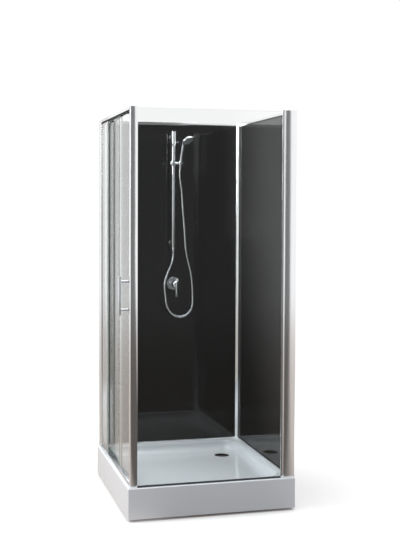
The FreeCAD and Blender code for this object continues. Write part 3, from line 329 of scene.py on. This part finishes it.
@dataclass(frozen=True)
class ParticleBoard(Finish):
    """Pressed wood chips: pale and dark flakes about 4 mm wide under a matt face."""

    def shader(self, tree: bpy.types.NodeTree) -> bpy.types.Node:
        """Principled shader whose colour follows Voronoi flakes."""
        place = add_node(tree, "ShaderNodeTexCoord").outputs["Object"]
        flakes = add_node(tree, "ShaderNodeTexVoronoi", {"Vector": place, "Scale": 1 / 0.004})
        ramp = add_node(tree, "ShaderNodeValToRGB", {"Fac": flakes.outputs["Color"]})
        ramp.color_ramp.elements[0].color = linear("#8A6D4C")
        ramp.color_ramp.elements[1].color = linear("#C9AE86")
        return add_node(tree, "ShaderNodeBsdfPrincipled", {
            "Base Color": ramp.outputs["Color"], "Roughness": self.roughness})


# Cast acrylic sheet, vacuum formed: deep gloss, faintly wavy where it was drawn.
ACRYLIC = Finish("CastAcrylicWhite", "acrylic", "#DEE2E8", 0.12, roughness_spread=0.05,
                 grain=90, bump=0.02, bump_grain=60, coat=0.3)
# Extruded aluminium, polished and bright anodised: soft mirror with fine lines along its length.
PROFILE = Finish("BrightAnodisedAluminium", "profile", "#EFF0F2", 0.13, metallic=1.0,
                 roughness_spread=0.08, grain=2.5, grain_stretch=60, bump=0.004, bump_grain=1.2)
# Chrome over brass: hard mirror with a slight blue cast.
CHROME = Finish("PolishedChrome", "chrome", "#D9DCE0", 0.04, metallic=1.0,
                roughness_spread=0.03, grain=12)
# Chrome over a moulding: the same mirror, a touch softer over sink marks.
PLATED = Finish("PlatedMoulding", "plated", "#D6D9DD", 0.07, metallic=1.0,
                roughness_spread=0.04, grain=9, bump=0.01, bump_grain=14)
# Float glass painted black on its back: deep black under a sharp gloss.
BLACK_GLASS = Finish("BlackBackPaintedGlass", "black_glass", "#060708", 0.02, ior=1.45,
                     roughness_spread=0.015, grain=120)
CLEAR_GLASS = ClearGlass("ClearToughenedGlass", "clear_glass", "#FAFCFB", 0.0, ior=1.5)
# Ground and polished glass edge: grey green, since light comes out along the sheet.
GLASS_EDGE = Finish("GroundGlassEdge", "clear_glass", "#8FA39C", 0.25, roughness_spread=0.15,
                    grain=6)
# Co-extruded seal: pale, half matt.
SEAL = Finish("PaleSealStrip", "seal", "#C9CDD1", 0.35, roughness_spread=0.1, grain=5,
              grain_stretch=30)
# Milky seal lip of the fixed pane: scatters the light that comes through it.
WHITE_SEAL = ClearGlass("MilkySealStrip", "seal", "#FBFCFC", 0.55, ior=1.3)
# Clear vinyl on the leaves' edges and top shoes: a faint line against the glass.
CLEAR_STRIP = ClearGlass("ClearVinylStrip", "seal", "#F6F8F8", 0.12, ior=1.2)
# Black pile: swallows light, so it reads as a thin dark line; its black is also painted shade for
# the shadowed gap under the top rail.
BRUSH_AND_GAP_SHADE = Finish("BlackPileBrush", "seal", "#141416", 0.7, roughness_spread=0.2, grain=1)
# Dark anodised strip: a dull dark line under the front glass.
SILL = Finish("DarkSillStrip", "sill", "#3B3D41", 0.35, roughness_spread=0.1, grain=8)
# Turned or moulded nylon: milky and half matt.
NYLON = Finish("MouldedNylon", "roller", "#D5D6D6", 0.4, roughness_spread=0.1, grain=4)
# Zinc plated steel with a mottled spangle.
ZINC = Finish("ZincPlatedSteel", "steel", "#A9ADB1", 0.28, metallic=1.0, roughness_spread=0.22,
              grain=14, tone_spread=0.2)
# Moulded rubber: black, half matt, finely pitted.
PAD = Finish("BlackMouldedPad", "pad", "#1C1D1E", 0.5, roughness_spread=0.15, grain=2,
             bump=0.05, bump_grain=0.8)
BOARD = ParticleBoard("PressedChipBoard", "board", "#B5966C", 0.75)
# Bitumen coat on a sawn edge: dull black, also painted shade that darkens the drain hole.
SEALANT_AND_DRAIN_SHADE = Finish("BlackEdgeSealer", "board", "#0C0B0B", 0.7, roughness_spread=0.2, grain=6,
                 bump=0.1, bump_grain=3)
# Silicone nozzles in a satin grey plate.
SPRAY = Finish("SatinSprayPlate", "face", "#B9BCC0", 0.3, roughness_spread=0.1, grain=3)
NOZZLE = Finish("SiliconeNozzle", "face", "#6E7276", 0.45, roughness_spread=0.1, grain=1)
# Wound and interlocked chromed strip.
HOSE = Finish("WoundChromedHose", "hose", "#C9CCD0", 0.16, metallic=1.0, roughness_spread=0.1,
              grain=3)


# ---------------------------------------------------------------- mesh tools
@dataclass
class Workshop:
    """Makes finished pieces and hangs them on the frame's bodies."""

    frame: dict[str, Any]
    made: list[str] = field(default_factory=list)

    def finish_piece(self, mesh: bpy.types.Mesh, name: str, body: str, finishes: Sequence[Finish],
                     nodes: Sequence[str] = (), smooth: float = 32.0) -> bpy.types.Object:
        """Give a mesh its finishes and its body.

        Args:
            mesh: the finished mesh, in the row frame.
            name: the piece's name.
            body: the CAD body that it rides on.
            finishes: one finish for each material index of the mesh.
            nodes: the CAD nodes that it stands for.
            smooth: edges sharper than this many degrees stay sharp.

        Returns:
            The new object.
        """
        mesh.name = name
        if mesh.materials:
            mesh.materials.clear()
        for finish in finishes:
            mesh.materials.append(finish.material())
        mesh.shade_smooth()
        mesh.set_sharp_from_angle(angle=math.radians(smooth))
        piece = bpy.data.objects.new(name, mesh)
        bpy.context.scene.collection.objects.link(piece)
        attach(piece, body)
        if nodes:
            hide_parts(*nodes)
        self.made.append(name)
        LOG.info("%s rides on %s", name, body)
        return piece

    def solid_copy(self, node: str) -> bmesh.types.BMesh:
        """A welded copy of a CAD node with its flat faces joined."""
        shape = bmesh.new()
        shape.from_mesh(self.frame["nodes"][node].data)
        bmesh.ops.remove_doubles(shape, verts=shape.verts, dist=2e-6)
        bmesh.ops.dissolve_limit(shape, angle_limit=math.radians(0.3), verts=shape.verts,
                                 edges=shape.edges)
        return shape

    def refine(self, node: str, body: str, finish: Finish, bevel: float = 0.0,
               segments: int = 2, smooth: float = 32.0) -> bpy.types.Object:
        """Replace a CAD node by a welded, smooth shaded copy with softened edges.

        Args:
            node: the CAD node.
            body: the body that it rides on.
            finish: its finish.
            bevel: width of the edges' rounding in metres, or 0 for none.
            segments: steps of the rounding.
            smooth: edges sharper than this many degrees stay sharp.

        Returns:
            The new object.
        """
        shape = self.solid_copy(node)
        if bevel:
            sharp = [edge for edge in shape.edges
                     if edge.is_manifold and edge.calc_face_angle(0.0) > math.radians(40)]
            bmesh.ops.bevel(shape, geom=sharp, offset=bevel, segments=segments, profile=0.5,
                            affect="EDGES", clamp_overlap=True)
        mesh = bpy.data.meshes.new(node)
        shape.to_mesh(mesh)
        shape.free()
        return self.finish_piece(mesh, f"{node}_piece", body, [finish], [node], smooth)


@dataclass
class Pane:
    """A sheet of glass with ground edges: clear faces and grey green rims."""

    node: str
    body: str
    face: Finish = CLEAR_GLASS
    edge: Finish = GLASS_EDGE
    arris: float = 0.4 * MM

    def build(self, shop: Workshop) -> bpy.types.Object:
        """Copy the CAD sheet, bevel its rim and give rim and faces their own finishes."""
        shape = shop.solid_copy(self.node)
        low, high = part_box(self.node)
        spans = high - low
        thin = min(range(3), key=lambda axis: spans[axis])
        sharp = [edge for edge in shape.edges
                 if edge.is_manifold and edge.calc_face_angle(0.0) > math.radians(40)]
        bmesh.ops.bevel(shape, geom=sharp, offset=self.arris, segments=1, affect="EDGES",
                        clamp_overlap=True)
        shape.normal_update()
        for face in shape.faces:
            face.material_index = 0 if abs(face.normal[thin]) > 0.95 else 1
        mesh = bpy.data.meshes.new(self.node)
        shape.to_mesh(mesh)
        shape.free()
        return shop.finish_piece(mesh, f"{self.node}_piece", self.body, [self.face, self.edge],
                                 [self.node], 20.0)


# ---------------------------------------------------------------- geometry nodes
@dataclass
class NodeGraph:
    """A geometry node group under construction."""

    name: str
    tree: bpy.types.GeometryNodeTree = field(init=False)
    source: bpy.types.Node = field(init=False)

    def __post_init__(self) -> None:
        """Start the group with a geometry input and output."""
        self.tree = bpy.data.node_groups.new(self.name, "GeometryNodeTree")
        self.tree.interface.new_socket("Geometry", in_out="INPUT",
                                       socket_type="NodeSocketGeometry")
        self.tree.interface.new_socket("Geometry", in_out="OUTPUT",
                                       socket_type="NodeSocketGeometry")
        self.source = self.tree.nodes.new("NodeGroupInput")

    def number(self, name: str, value: float, kind: str = "NodeSocketFloat"
               ) -> bpy.types.NodeSocket:
        """Add a named input and return its socket inside the group."""
        socket = self.tree.interface.new_socket(name, in_out="INPUT", socket_type=kind)
        socket.default_value = value
        return self.source.outputs[name]

    def add(self, kind: str, inputs: Optional[dict[Any, Any]] = None, **settings: Any
            ) -> bpy.types.Node:
        """Add a node to the group."""
        return add_node(self.tree, kind, inputs, **settings)

    def math(self, operation: str, *values: Any) -> bpy.types.NodeSocket:
        """Add a Math node and return its result."""
        return self.add("ShaderNodeMath", dict(enumerate(values)), operation=operation).outputs[0]

    def close(self, geometry: bpy.types.NodeSocket, material: bpy.types.Material) -> None:
        """Realise, paint and put out the geometry."""
        real = self.add("GeometryNodeRealizeInstances", {"Geometry": geometry})
        painted = self.add("GeometryNodeSetMaterial", {
            "Geometry": real.outputs["Geometry"], "Material": material})
        self.add("NodeGroupOutput", {"Geometry": painted.outputs["Geometry"]})

    def apply(self, mesh: bpy.types.Mesh, values: dict[str, float]) -> bpy.types.Mesh:
        """Run the group on a mesh and return the result as a new mesh.

        Args:
            mesh: what the group starts from.
            values: named inputs mapped to their values.

        Returns:
            The evaluated mesh, with no modifier on it.
        """
        holder = bpy.data.objects.new("node_input", mesh)
        bpy.context.scene.collection.objects.link(holder)
        modifier = holder.modifiers.new("Nodes", "NODES")
        modifier.node_group = self.tree
        for item in self.tree.interface.items_tree:
            if item.item_type == "SOCKET" and item.in_out == "INPUT" and item.name in values:
                modifier[item.identifier] = values[item.name]
        holder.update_tag()
        bpy.context.view_layer.update()
        graph = bpy.context.evaluated_depsgraph_get()
        result = bpy.data.meshes.new_from_object(holder.evaluated_get(graph))
        holder.modifiers.remove(modifier)
        bpy.data.objects.remove(holder)
        return result


def ribbed_tube(material: bpy.types.Material) -> NodeGraph:
    """Node group that sweeps a ribbed round tube along a line of edges."""
    graph = NodeGraph("RibbedTube")
    radius = graph.number("Radius", 6.5 * MM)
    pitch = graph.number("Pitch", 3.2 * MM)
    depth = graph.number("Depth", 0.07)
    line = graph.add("GeometryNodeMeshToCurve", {"Mesh": graph.source.outputs["Geometry"]})
    fine = graph.add("GeometryNodeResampleCurve", {
        "Curve": line.outputs["Curve"], "Length": graph.math("DIVIDE", pitch, 5.0)},
        mode="LENGTH")
    along = graph.add("GeometryNodeSplineParameter").outputs["Length"]
    turns = graph.math("MULTIPLY", graph.math("DIVIDE", along, pitch), 2 * math.pi)
    wave = graph.math("ABSOLUTE", graph.math("SINE", graph.math("MULTIPLY", turns, 0.5)))
    size = graph.math("MULTIPLY", radius, graph.math(
        "SUBTRACT", 1.0, graph.math("MULTIPLY", depth, graph.math("SUBTRACT", 1.0, wave))))
    ring = graph.add("GeometryNodeCurvePrimitiveCircle", {"Resolution": 18, "Radius": 1.0})
    swept = graph.add("GeometryNodeCurveToMesh", {
        "Curve": fine.outputs["Curve"], "Profile Curve": ring.outputs["Curve"],
        "Scale": size, "Fill Caps": True})
    graph.close(swept.outputs["Mesh"], material)
    return graph


def pile_brush(material: bpy.types.Material) -> NodeGraph:
    """Node group that sets a row of leaning bristles along a line of edges."""
    graph = NodeGraph("PileBrush")
    pitch = graph.number("Pitch", 2 * MM)
    length = graph.number("Bristle length", 7 * MM)
    thick = graph.number("Bristle thickness", 0.5 * MM)
    lean = graph.number("Lean", 0.12)
    seed = graph.number("Seed", 3, "NodeSocketInt")
    line = graph.add("GeometryNodeMeshToCurve", {"Mesh": graph.source.outputs["Geometry"]})
    spots = graph.add("GeometryNodeResampleCurve", {
        "Curve": line.outputs["Curve"], "Length": pitch}, mode="LENGTH")
    bristle = graph.add("GeometryNodeMeshCone", {
        "Vertices": 5, "Radius Top": graph.math("MULTIPLY", thick, 0.6), "Radius Bottom": thick,
        "Depth": length})
    low = graph.add("ShaderNodeCombineXYZ", {
        "X": graph.math("MULTIPLY", lean, -1.0), "Y": graph.math("MULTIPLY", lean, -1.0)})
    high = graph.add("ShaderNodeCombineXYZ", {"X": lean, "Y": lean})
    tilt = graph.add("FunctionNodeRandomValue", {
        0: low.outputs["Vector"], 1: high.outputs["Vector"], "Seed": seed},
        data_type="FLOAT_VECTOR")
    placed = graph.add("GeometryNodeInstanceOnPoints", {
        "Points": spots.outputs["Curve"], "Instance": bristle.outputs["Mesh"]})
    turn = graph.add("FunctionNodeEulerToRotation", {"Euler": tilt.outputs[0]})
    tilted = graph.add("GeometryNodeRotateInstances", {
        "Instances": placed.outputs["Instances"], "Rotation": turn.outputs["Rotation"]})
    graph.close(tilted.outputs["Instances"], material)
    return graph


MOST_RINGS = 4


def nozzle_rings(material: bpy.types.Material) -> NodeGraph:
    """Node group that sets small cones on rings about the origin, pointing along +Z."""
    graph = NodeGraph("NozzleRings")
    count = graph.number("Rings", MOST_RINGS, "NodeSocketInt")
    gap = graph.number("Ring gap", 6.2 * MM)
    spacing = graph.number("Spacing", 6.0 * MM)
    height = graph.number("Height", 1.6 * MM)
    radius = graph.number("Radius", 1.1 * MM)
    join: Optional[bpy.types.NodeSocket] = None
    cone = graph.add("GeometryNodeMeshCone", {
        "Vertices": 10, "Radius Top": graph.math("MULTIPLY", radius, 0.55),
        "Radius Bottom": radius, "Depth": height})
    for ring in range(1, MOST_RINGS + 1):
        size = graph.math("MULTIPLY", gap, float(ring))
        number = graph.math("DIVIDE", graph.math("MULTIPLY", size, 2 * math.pi), spacing)
        line = graph.add("GeometryNodeCurvePrimitiveCircle", {
            "Resolution": number, "Radius": size})
        placed = graph.add("GeometryNodeInstanceOnPoints", {
            "Points": line.outputs["Curve"], "Instance": cone.outputs["Mesh"],
            "Selection": graph.add("FunctionNodeCompare", {
                2: count, 3: ring}, data_type="INT", operation="GREATER_EQUAL"
            ).outputs["Result"]})
        joined = graph.add("GeometryNodeJoinGeometry")
        if join is not None:
            graph.tree.links.new(join, joined.inputs["Geometry"])
        graph.tree.links.new(placed.outputs["Instances"], joined.inputs["Geometry"])
        join = joined.outputs["Geometry"]
    graph.close(join, material)
    return graph


# ---------------------------------------------------------------- the hose
@dataclass(frozen=True)
class HosePart:
    """A stretch of hose between two heights, with the two bodies that it runs between."""

    name: str
    first: str
    second: str
    start: Point
    end: Point


@dataclass
class ShowerHose:
    """The hose from the rail's outlet down, round its loop and up to the handset."""

    radius: float = 6.5 * MM
    loop_level: float = 1.035
    slider_level: float = 1.630
    holder_level: float = 1.728
    blend_reach: float = 50.0
    route: tuple[Point, ...] = (
        (-0.009, 0.354, 1.323), (-0.009, 0.354, 1.278), (-0.043, 0.350, 1.208),
        (-0.069, 0.345, 1.133), (-0.058, 0.341, 1.059), (-0.056, 0.338, 1.010),
        (-0.016, 0.335, 0.948), (0.053, 0.332, 0.939), (0.104, 0.329, 0.986),
        (0.104, 0.327, 1.076), (0.096, 0.325, 1.191), (0.059, 0.323, 1.322),
        (0.052, 0.322, 1.452), (0.039, 0.321, 1.580), (0.033, 0.320, 1.694),
        (0.017006, 0.316859, 1.777633), (0.020375, 0.312047, 1.822248))

    def line(self) -> list[Vector]:
        """Points down the middle of the hose, read from its NURBS spline."""
        data = bpy.data.curves.new("hose_route", "CURVE")
        data.dimensions = "3D"
        data.resolution_u = 24
        spline = data.splines.new("NURBS")
        spline.points.add(len(self.route) - 1)
        for point, place in zip(spline.points, self.route):
            point.co = (*place, 1.0)
        spline.order_u = 3
        spline.use_endpoint_u = True
        holder = bpy.data.objects.new("hose_route", data)
        mesh = bpy.data.meshes.new_from_object(holder)
        points = [vertex.co.copy() for vertex in mesh.vertices]
        bpy.data.objects.remove(holder)
        bpy.data.curves.remove(data)
        bpy.data.meshes.remove(mesh)
        return points

    def build(self, shop: Workshop) -> None:
        """Sweep the hose's stretches."""
        points = self.line()
        low = min(range(len(points)), key=lambda i: points[i].z)
        down = next(i for i, point in enumerate(points) if point.z < self.loop_level)
        up = [next(i for i in range(low, len(points)) if points[i].z > level)
              for level in (self.loop_level, self.slider_level, self.holder_level)]
        cuts = [0, down, *up, len(points) - 1]
        middle = points[low]
        lift = Vector((0, self.blend_reach, 0))
        ends = [points[i] for i in cuts]
        parts = [
            HosePart("hose_falling_leg", "cabin", "slider", ends[0], 2 * ends[1] - ends[0]),
            HosePart("hose_loop", "cabin", "slider", middle - lift, middle + lift),
            HosePart("hose_rising_leg", "cabin", "slider", 2 * ends[2] - ends[3], ends[3]),
            HosePart("hose_upper_run", "slider", "holder", ends[3], ends[4]),
            HosePart("hose_end", "holder", "handset", ends[4], ends[5])]
        tube = ribbed_tube(HOSE.material())
        for part, first, last in zip(parts, cuts, cuts[1:]):
            run = points[first:last + 1]
            path = bpy.data.meshes.new(part.name)
            path.from_pydata(run, [(i, i + 1) for i in range(len(run) - 1)], [])
            mesh = tube.apply(path, {"Radius": self.radius})
            mesh.name = part.name
            mesh.shade_smooth()
            piece = bpy.data.objects.new(part.name, mesh)
            bpy.context.scene.collection.objects.link(piece)
            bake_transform(piece)
            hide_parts("shower_hose")
            shop.made.append(part.name)


# ---------------------------------------------------------------- sub-assemblies
@dataclass
class Tray:
    """Acrylic tray on its board, bars and screw feet."""

    body: str = "cabin"
    drain: tuple[float, float] = (0.265, 0.250)
    drain_shade_reach: float = 70 * MM

    def build(self, shop: Workshop) -> None:
        """Build the tray and what holds it up."""
        shop.refine("shower_tray", self.body, ACRYLIC, smooth=40)
        self.board(shop)
        shop.refine("support_bars", self.body, ZINC, bevel=0.8 * MM, segments=2)
        shop.refine("foot_pads", self.body, PAD, bevel=0.8 * MM, segments=2)
        shop.refine("foot_rods", self.body, ZINC)
        shop.refine("foot_nuts", self.body, ZINC, bevel=0.4 * MM, segments=1)

    def board(self, shop: Workshop) -> None:
        """Build the board under the basin, with the cut edge round the drain coated black:
        painted shade that darkens the drain hole.
        """
        shape = shop.solid_copy("tray_board")
        drain = Vector(self.drain)
        # Painted shade: upright faces near the drain turn black, so the drain hole reads dark.
        for face in shape.faces:
            away = (face.calc_center_median().xy - drain).length
            face.material_index = int(away < self.drain_shade_reach and abs(face.normal.z) < 0.5)
        mesh = bpy.data.meshes.new("tray_board")
        shape.to_mesh(mesh)
        shape.free()
        shop.finish_piece(mesh, "tray_board_piece", self.body, [BOARD, SEALANT_AND_DRAIN_SHADE], ["tray_board"])


@dataclass
class Cabin:
    """Profiles, fixed glass and black panels that stand on the tray."""

    body: str = "cabin"
    profiles: tuple[str, ...] = (
        "corner_post", "front_right_jamb", "front_channel", "back_left_jamb", "back_channel",
        "back_right_profile", "back_top_rail", "right_top_rail", "back_bottom_rail",
        "right_bottom_rail", "bottom_track", "top_rail")
    strips: dict[str, Finish] = field(default_factory=lambda: {
        "fixed_pane_strip": WHITE_SEAL, "strike_strip": SEAL})

    def build(self, shop: Workshop) -> None:
        """Build the cabin's fixed pieces."""
        for node in self.profiles:
            shop.refine(node, self.body, PROFILE, bevel=0.4 * MM, segments=2)
        for node, finish in self.strips.items():
            shop.refine(node, self.body, finish, bevel=0.3 * MM, segments=1)
        shop.refine("front_sill", self.body, SILL, bevel=0.3 * MM, segments=1)
        for node in ("back_panel", "right_panel"):
            Pane(node, self.body, BLACK_GLASS, BLACK_GLASS).build(shop)
        for node in ("front_glass", "fixed_pane"):
            Pane(node, self.body).build(shop)
        # Painted shade: the black brush stands for the shadowed gap under the top rail.
        BrushStrip("top_rail_brush", (-0.4364, -0.398, 2.0785), (-0.4364, 0.389, 2.0785), BRUSH_AND_GAP_SHADE,
                   length=8 * MM, pitch=0.9 * MM, lean=0.08).build(shop)


@dataclass
class BrushStrip:
    """A straight brush seal: upright bristles set along a line on the cabin."""

    name: str
    start: Point
    end: Point
    finish: Finish
    length: float = 7 * MM
    pitch: float = 2 * MM
    lean: float = 0.12

    def build(self, shop: Workshop) -> bpy.types.Object:
        """Set the bristles and add the piece to the cabin."""
        line = bpy.data.meshes.new(self.name)
        line.from_pydata([self.start, self.end], [(0, 1)], [])
        mesh = pile_brush(self.finish.material()).apply(line, {
            "Pitch": self.pitch, "Bristle length": self.length, "Lean": self.lean})
        return shop.finish_piece(mesh, self.name, "cabin", [self.finish])


@dataclass
class DoorLeaf:
    """A sliding leaf with its wheels, carriers, shoes and strips."""

    name: str
    strips: dict[str, Finish]

    def build(self, shop: Workshop) -> None:
        """Build the leaf's pieces."""
        leaf = f"{self.name}_leaf"
        Pane(f"{leaf}_glass", leaf).build(shop)
        for strip, finish in self.strips.items():
            shop.refine(f"{leaf}_{strip}", leaf, finish, bevel=0.3 * MM, segments=1)
        shop.refine(f"{leaf}_carriers", leaf, CHROME, bevel=0.3 * MM, segments=1)
        shop.refine(f"{leaf}_top_shoes", leaf, CLEAR_STRIP, bevel=0.4 * MM, segments=1)
        shop.refine(f"{leaf}_axles", leaf, ZINC)
        for end in ("fore", "aft"):
            shop.refine(f"{leaf}_wheel_{end}", f"{self.name}_wheel_{end}", NYLON,
                        bevel=0.2 * MM, segments=1)


@dataclass
class DoorHandle:
    """Chromed bar handle on two standoffs."""

    body: str = "outer_leaf"

    def build(self, shop: Workshop) -> None:
        """Build the handle's pieces."""
        for node in ("handle_bar", "handle_standoffs", "handle_screws"):
            shop.refine(node, self.body, CHROME, bevel=0.5 * MM, segments=2)


@dataclass
class ShowerRail:
    """Rail with its brackets, slider, holder and hand shower."""

    fixed: tuple[str, ...] = ("shower_rail_tube", "rail_top_plug", "rail_outlet",
                              "rail_brackets", "hose_nut_lower")
    head_tilt: float = 32.0
    holder_turn: float = 55.0
    face_half: float = 0.9 * MM

    def build(self, shop: Workshop) -> None:
        """Build the rail's pieces."""
        for node in self.fixed:
            shop.refine(node, "cabin", CHROME, bevel=0.4 * MM, segments=2)
        shop.refine("rail_slider", "slider", PLATED, bevel=0.4 * MM, segments=2)
        shop.refine("holder_pin", "slider", CHROME, bevel=0.3 * MM, segments=1)
        shop.refine("slider_knob", "clamp_knob", PLATED, bevel=0.4 * MM, segments=2)
        shop.refine("shower_holder", "holder", PLATED, bevel=0.4 * MM, segments=2)
        shop.refine("hand_shower", "handset", CHROME, smooth=40)
        shop.refine("hose_nut_upper", "handset", CHROME, bevel=0.4 * MM, segments=2)
        shop.refine("spray_face", "handset", SPRAY, smooth=40)
        self.nozzles(shop)

    def nozzles(self, shop: Workshop) -> None:
        """Set rings of silicone nozzles on the middle of the spray face."""
        corners = [vertex.co for vertex in shop.frame["nodes"]["spray_face"].data.vertices]
        middle = sum(corners, Vector()) / len(corners)
        tilt, turn = math.radians(self.head_tilt), math.radians(self.holder_turn)
        out = Vector((math.sin(tilt) * math.cos(turn), -math.sin(tilt) * math.sin(turn),
                      -math.cos(tilt)))
        seed = bpy.data.meshes.new("spray_nozzles")
        seed.from_pydata([(0, 0, 0)], [], [])
        mesh = nozzle_rings(NOZZLE.material()).apply(seed, {})
        place = out.to_track_quat("Z", "Y").to_matrix().to_4x4()
        mesh.transform(Matrix.Translation(middle + out * self.face_half) @ place)
        shop.finish_piece(mesh, "spray_nozzles", "handset", [NOZZLE])


@dataclass
class Mixer:
    """Round thermostat-free mixer with a pin lever."""

    def build(self, shop: Workshop) -> None:
        """Build the mixer's pieces."""
        shop.refine("mixer_rosette", "cabin", CHROME, bevel=0.6 * MM, segments=3)
        shop.refine("mixer_body", "mixer_ball", CHROME, bevel=0.4 * MM, segments=2)
        shop.refine("mixer_lever", "mixer_arm", CHROME, bevel=0.3 * MM, segments=2)


# ---------------------------------------------------------------- studio
@dataclass
class Studio:
    """Camera, floor, lamps and world of the picture."""

    eye: Point = (-1.42022, -5.07635, 1.60699)
    yaw: float = 13.66
    pitch: float = -2.03
    roll: float = 0.14
    focal: float = 945.15 / 551 * 36
    shift: tuple[float, float] = (0.0754, -0.0676)
    ceiling: tuple[float, float] = (0.5, 0.85)
    soft: float = 0.4
    floor_half: float = 40.0
    floor_drop: float = 0.5 * MM

    def camera(self) -> None:
        """Make the camera at the picture's point of view."""
        data = bpy.data.cameras.new("camera")
        data.sensor_fit = "VERTICAL"
        data.sensor_height = 36
        data.sensor_width = 36 * 400 / 551
        data.lens = self.focal
        data.shift_x, data.shift_y = self.shift
        data.clip_end = 100
        camera = bpy.data.objects.new("camera", data)
        turn = (Matrix.Rotation(-math.radians(self.yaw), 4, "Z")
                @ Matrix.Rotation(math.radians(90 + self.pitch), 4, "X")
                @ Matrix.Rotation(math.radians(self.roll), 4, "Z"))
        camera.matrix_world = Matrix.Translation(self.eye) @ turn
        bpy.context.scene.collection.objects.link(camera)
        bpy.context.scene.camera = camera

    def lamp(self, name: str, place: Point, aim: Point, size: tuple[float, float],
             watts: float) -> None:
        """Add a soft box lamp.

        Args:
            name: the lamp's name.
            place: its middle.
            aim: the point that it faces.
            size: its width and height in metres.
            watts: its power.
        """
        data = bpy.data.lights.new(name, "AREA")
        data.shape = "RECTANGLE"
        data.size, data.size_y = size
        data.energy = watts
        lamp = bpy.data.objects.new(name, data)
        lamp.location = place
        lamp.rotation_euler = (Vector(aim) - Vector(place)).to_track_quat("-Z", "Y").to_euler()
        bpy.context.scene.collection.objects.link(lamp)

    def floor(self) -> None:
        """Lay the pale floor, which fades to plain white away from the object."""
        shape = bmesh.new()
        bmesh.ops.create_grid(shape, x_segments=1, y_segments=1, size=self.floor_half)
        mesh = bpy.data.meshes.new("studio_floor")
        shape.to_mesh(mesh)
        shape.free()
        mesh.materials.append(StudioFloor("MattPaperFloor", "", "#F4F4F4", 0.9).material())
        floor = bpy.data.objects.new("studio_floor", mesh)
        floor.location = (0, 0, -self.floor_drop)
        bpy.context.scene.collection.objects.link(floor)

    def world(self) -> None:
        """White for camera rays and through glass; Room, dim on -Y's side, for bounced rays."""
        world = bpy.data.worlds.new("studio")
        world.use_nodes = True
        tree = world.node_tree
        tree.nodes.clear()
        way = add_node(tree, "ShaderNodeSeparateXYZ", {
            "Vector": add_node(tree, "ShaderNodeTexCoord").outputs["Generated"]}).outputs
        ahead = add_node(tree, "ShaderNodeMath", {0: way["Y"], 1: -1.0},
                         operation="MULTIPLY").outputs[0]
        bearing = add_node(tree, "ShaderNodeMath", {0: way["X"], 1: ahead},
                           operation="ARCTAN2").outputs[0]
        room = ROOM.light(tree, bearing, bearing, step(tree, way["Z"], *self.ceiling))
        rays = add_node(tree, "ShaderNodeLightPath").outputs
        direct = add_node(tree, "ShaderNodeMath", {
            0: rays["Is Camera Ray"], 1: rays["Is Transmission Ray"]},
            operation="MAXIMUM").outputs[0]
        straight = add_node(tree, "ShaderNodeMath", {0: rays["Glossy Depth"], 1: 0.5},
                            operation="LESS_THAN").outputs[0]
        seen = add_node(tree, "ShaderNodeMath", {0: direct, 1: straight},
                        operation="MULTIPLY").outputs[0]
        floor = add_node(tree, "ShaderNodeMath", {
            0: rays["Is Diffuse Ray"], 1: self.soft}, operation="MULTIPLY").outputs[0]
        least = add_node(tree, "ShaderNodeMath", {0: room, 1: floor}, operation="MAXIMUM")
        strength = add_node(tree, "ShaderNodeMapRange", {
            "Value": seen, "To Min": least.outputs[0], "To Max": 1.0}).outputs["Result"]
        light = add_node(tree, "ShaderNodeBackground", {
            "Color": (1.0, 1.0, 1.0, 1.0), "Strength": strength})
        add_node(tree, "ShaderNodeOutputWorld", {"Surface": light.outputs["Background"]})
        bpy.context.scene.world = world

    def build(self) -> None:
        """Set up floor, world and lamps."""
        self.floor()
        self.world()
        self.lamp("key", (-4.5, 0.5, 3.5), (0, 0, 0.8), (2.5, 2.5), watts=150)
        self.lamp("top", (0.2, 0.2, 4.5), (0, 0, 0), (2.0, 2.0), watts=90)
        bpy.context.scene.view_settings.view_transform = "Standard"


def main() -> None:
    """Build the whole scene on the frame."""
    logging.basicConfig(level=logging.INFO, format="%(message)s")
    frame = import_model()
    studio = Studio()
    studio.camera()
    shop = Workshop(frame)
    ShowerHose().build(shop)
    outer = DoorLeaf("outer", {"seal": SEAL, "back_strip": CLEAR_STRIP})
    inner = DoorLeaf("inner", {"front_strip": CLEAR_STRIP})
    for part in (Tray(), Cabin(), outer, inner, DoorHandle(), ShowerRail(), Mixer()):
        part.build(shop)
    studio.build()
    LOG.info("%d pieces made", len(shop.made))


if __name__ == "__main__":
    main()
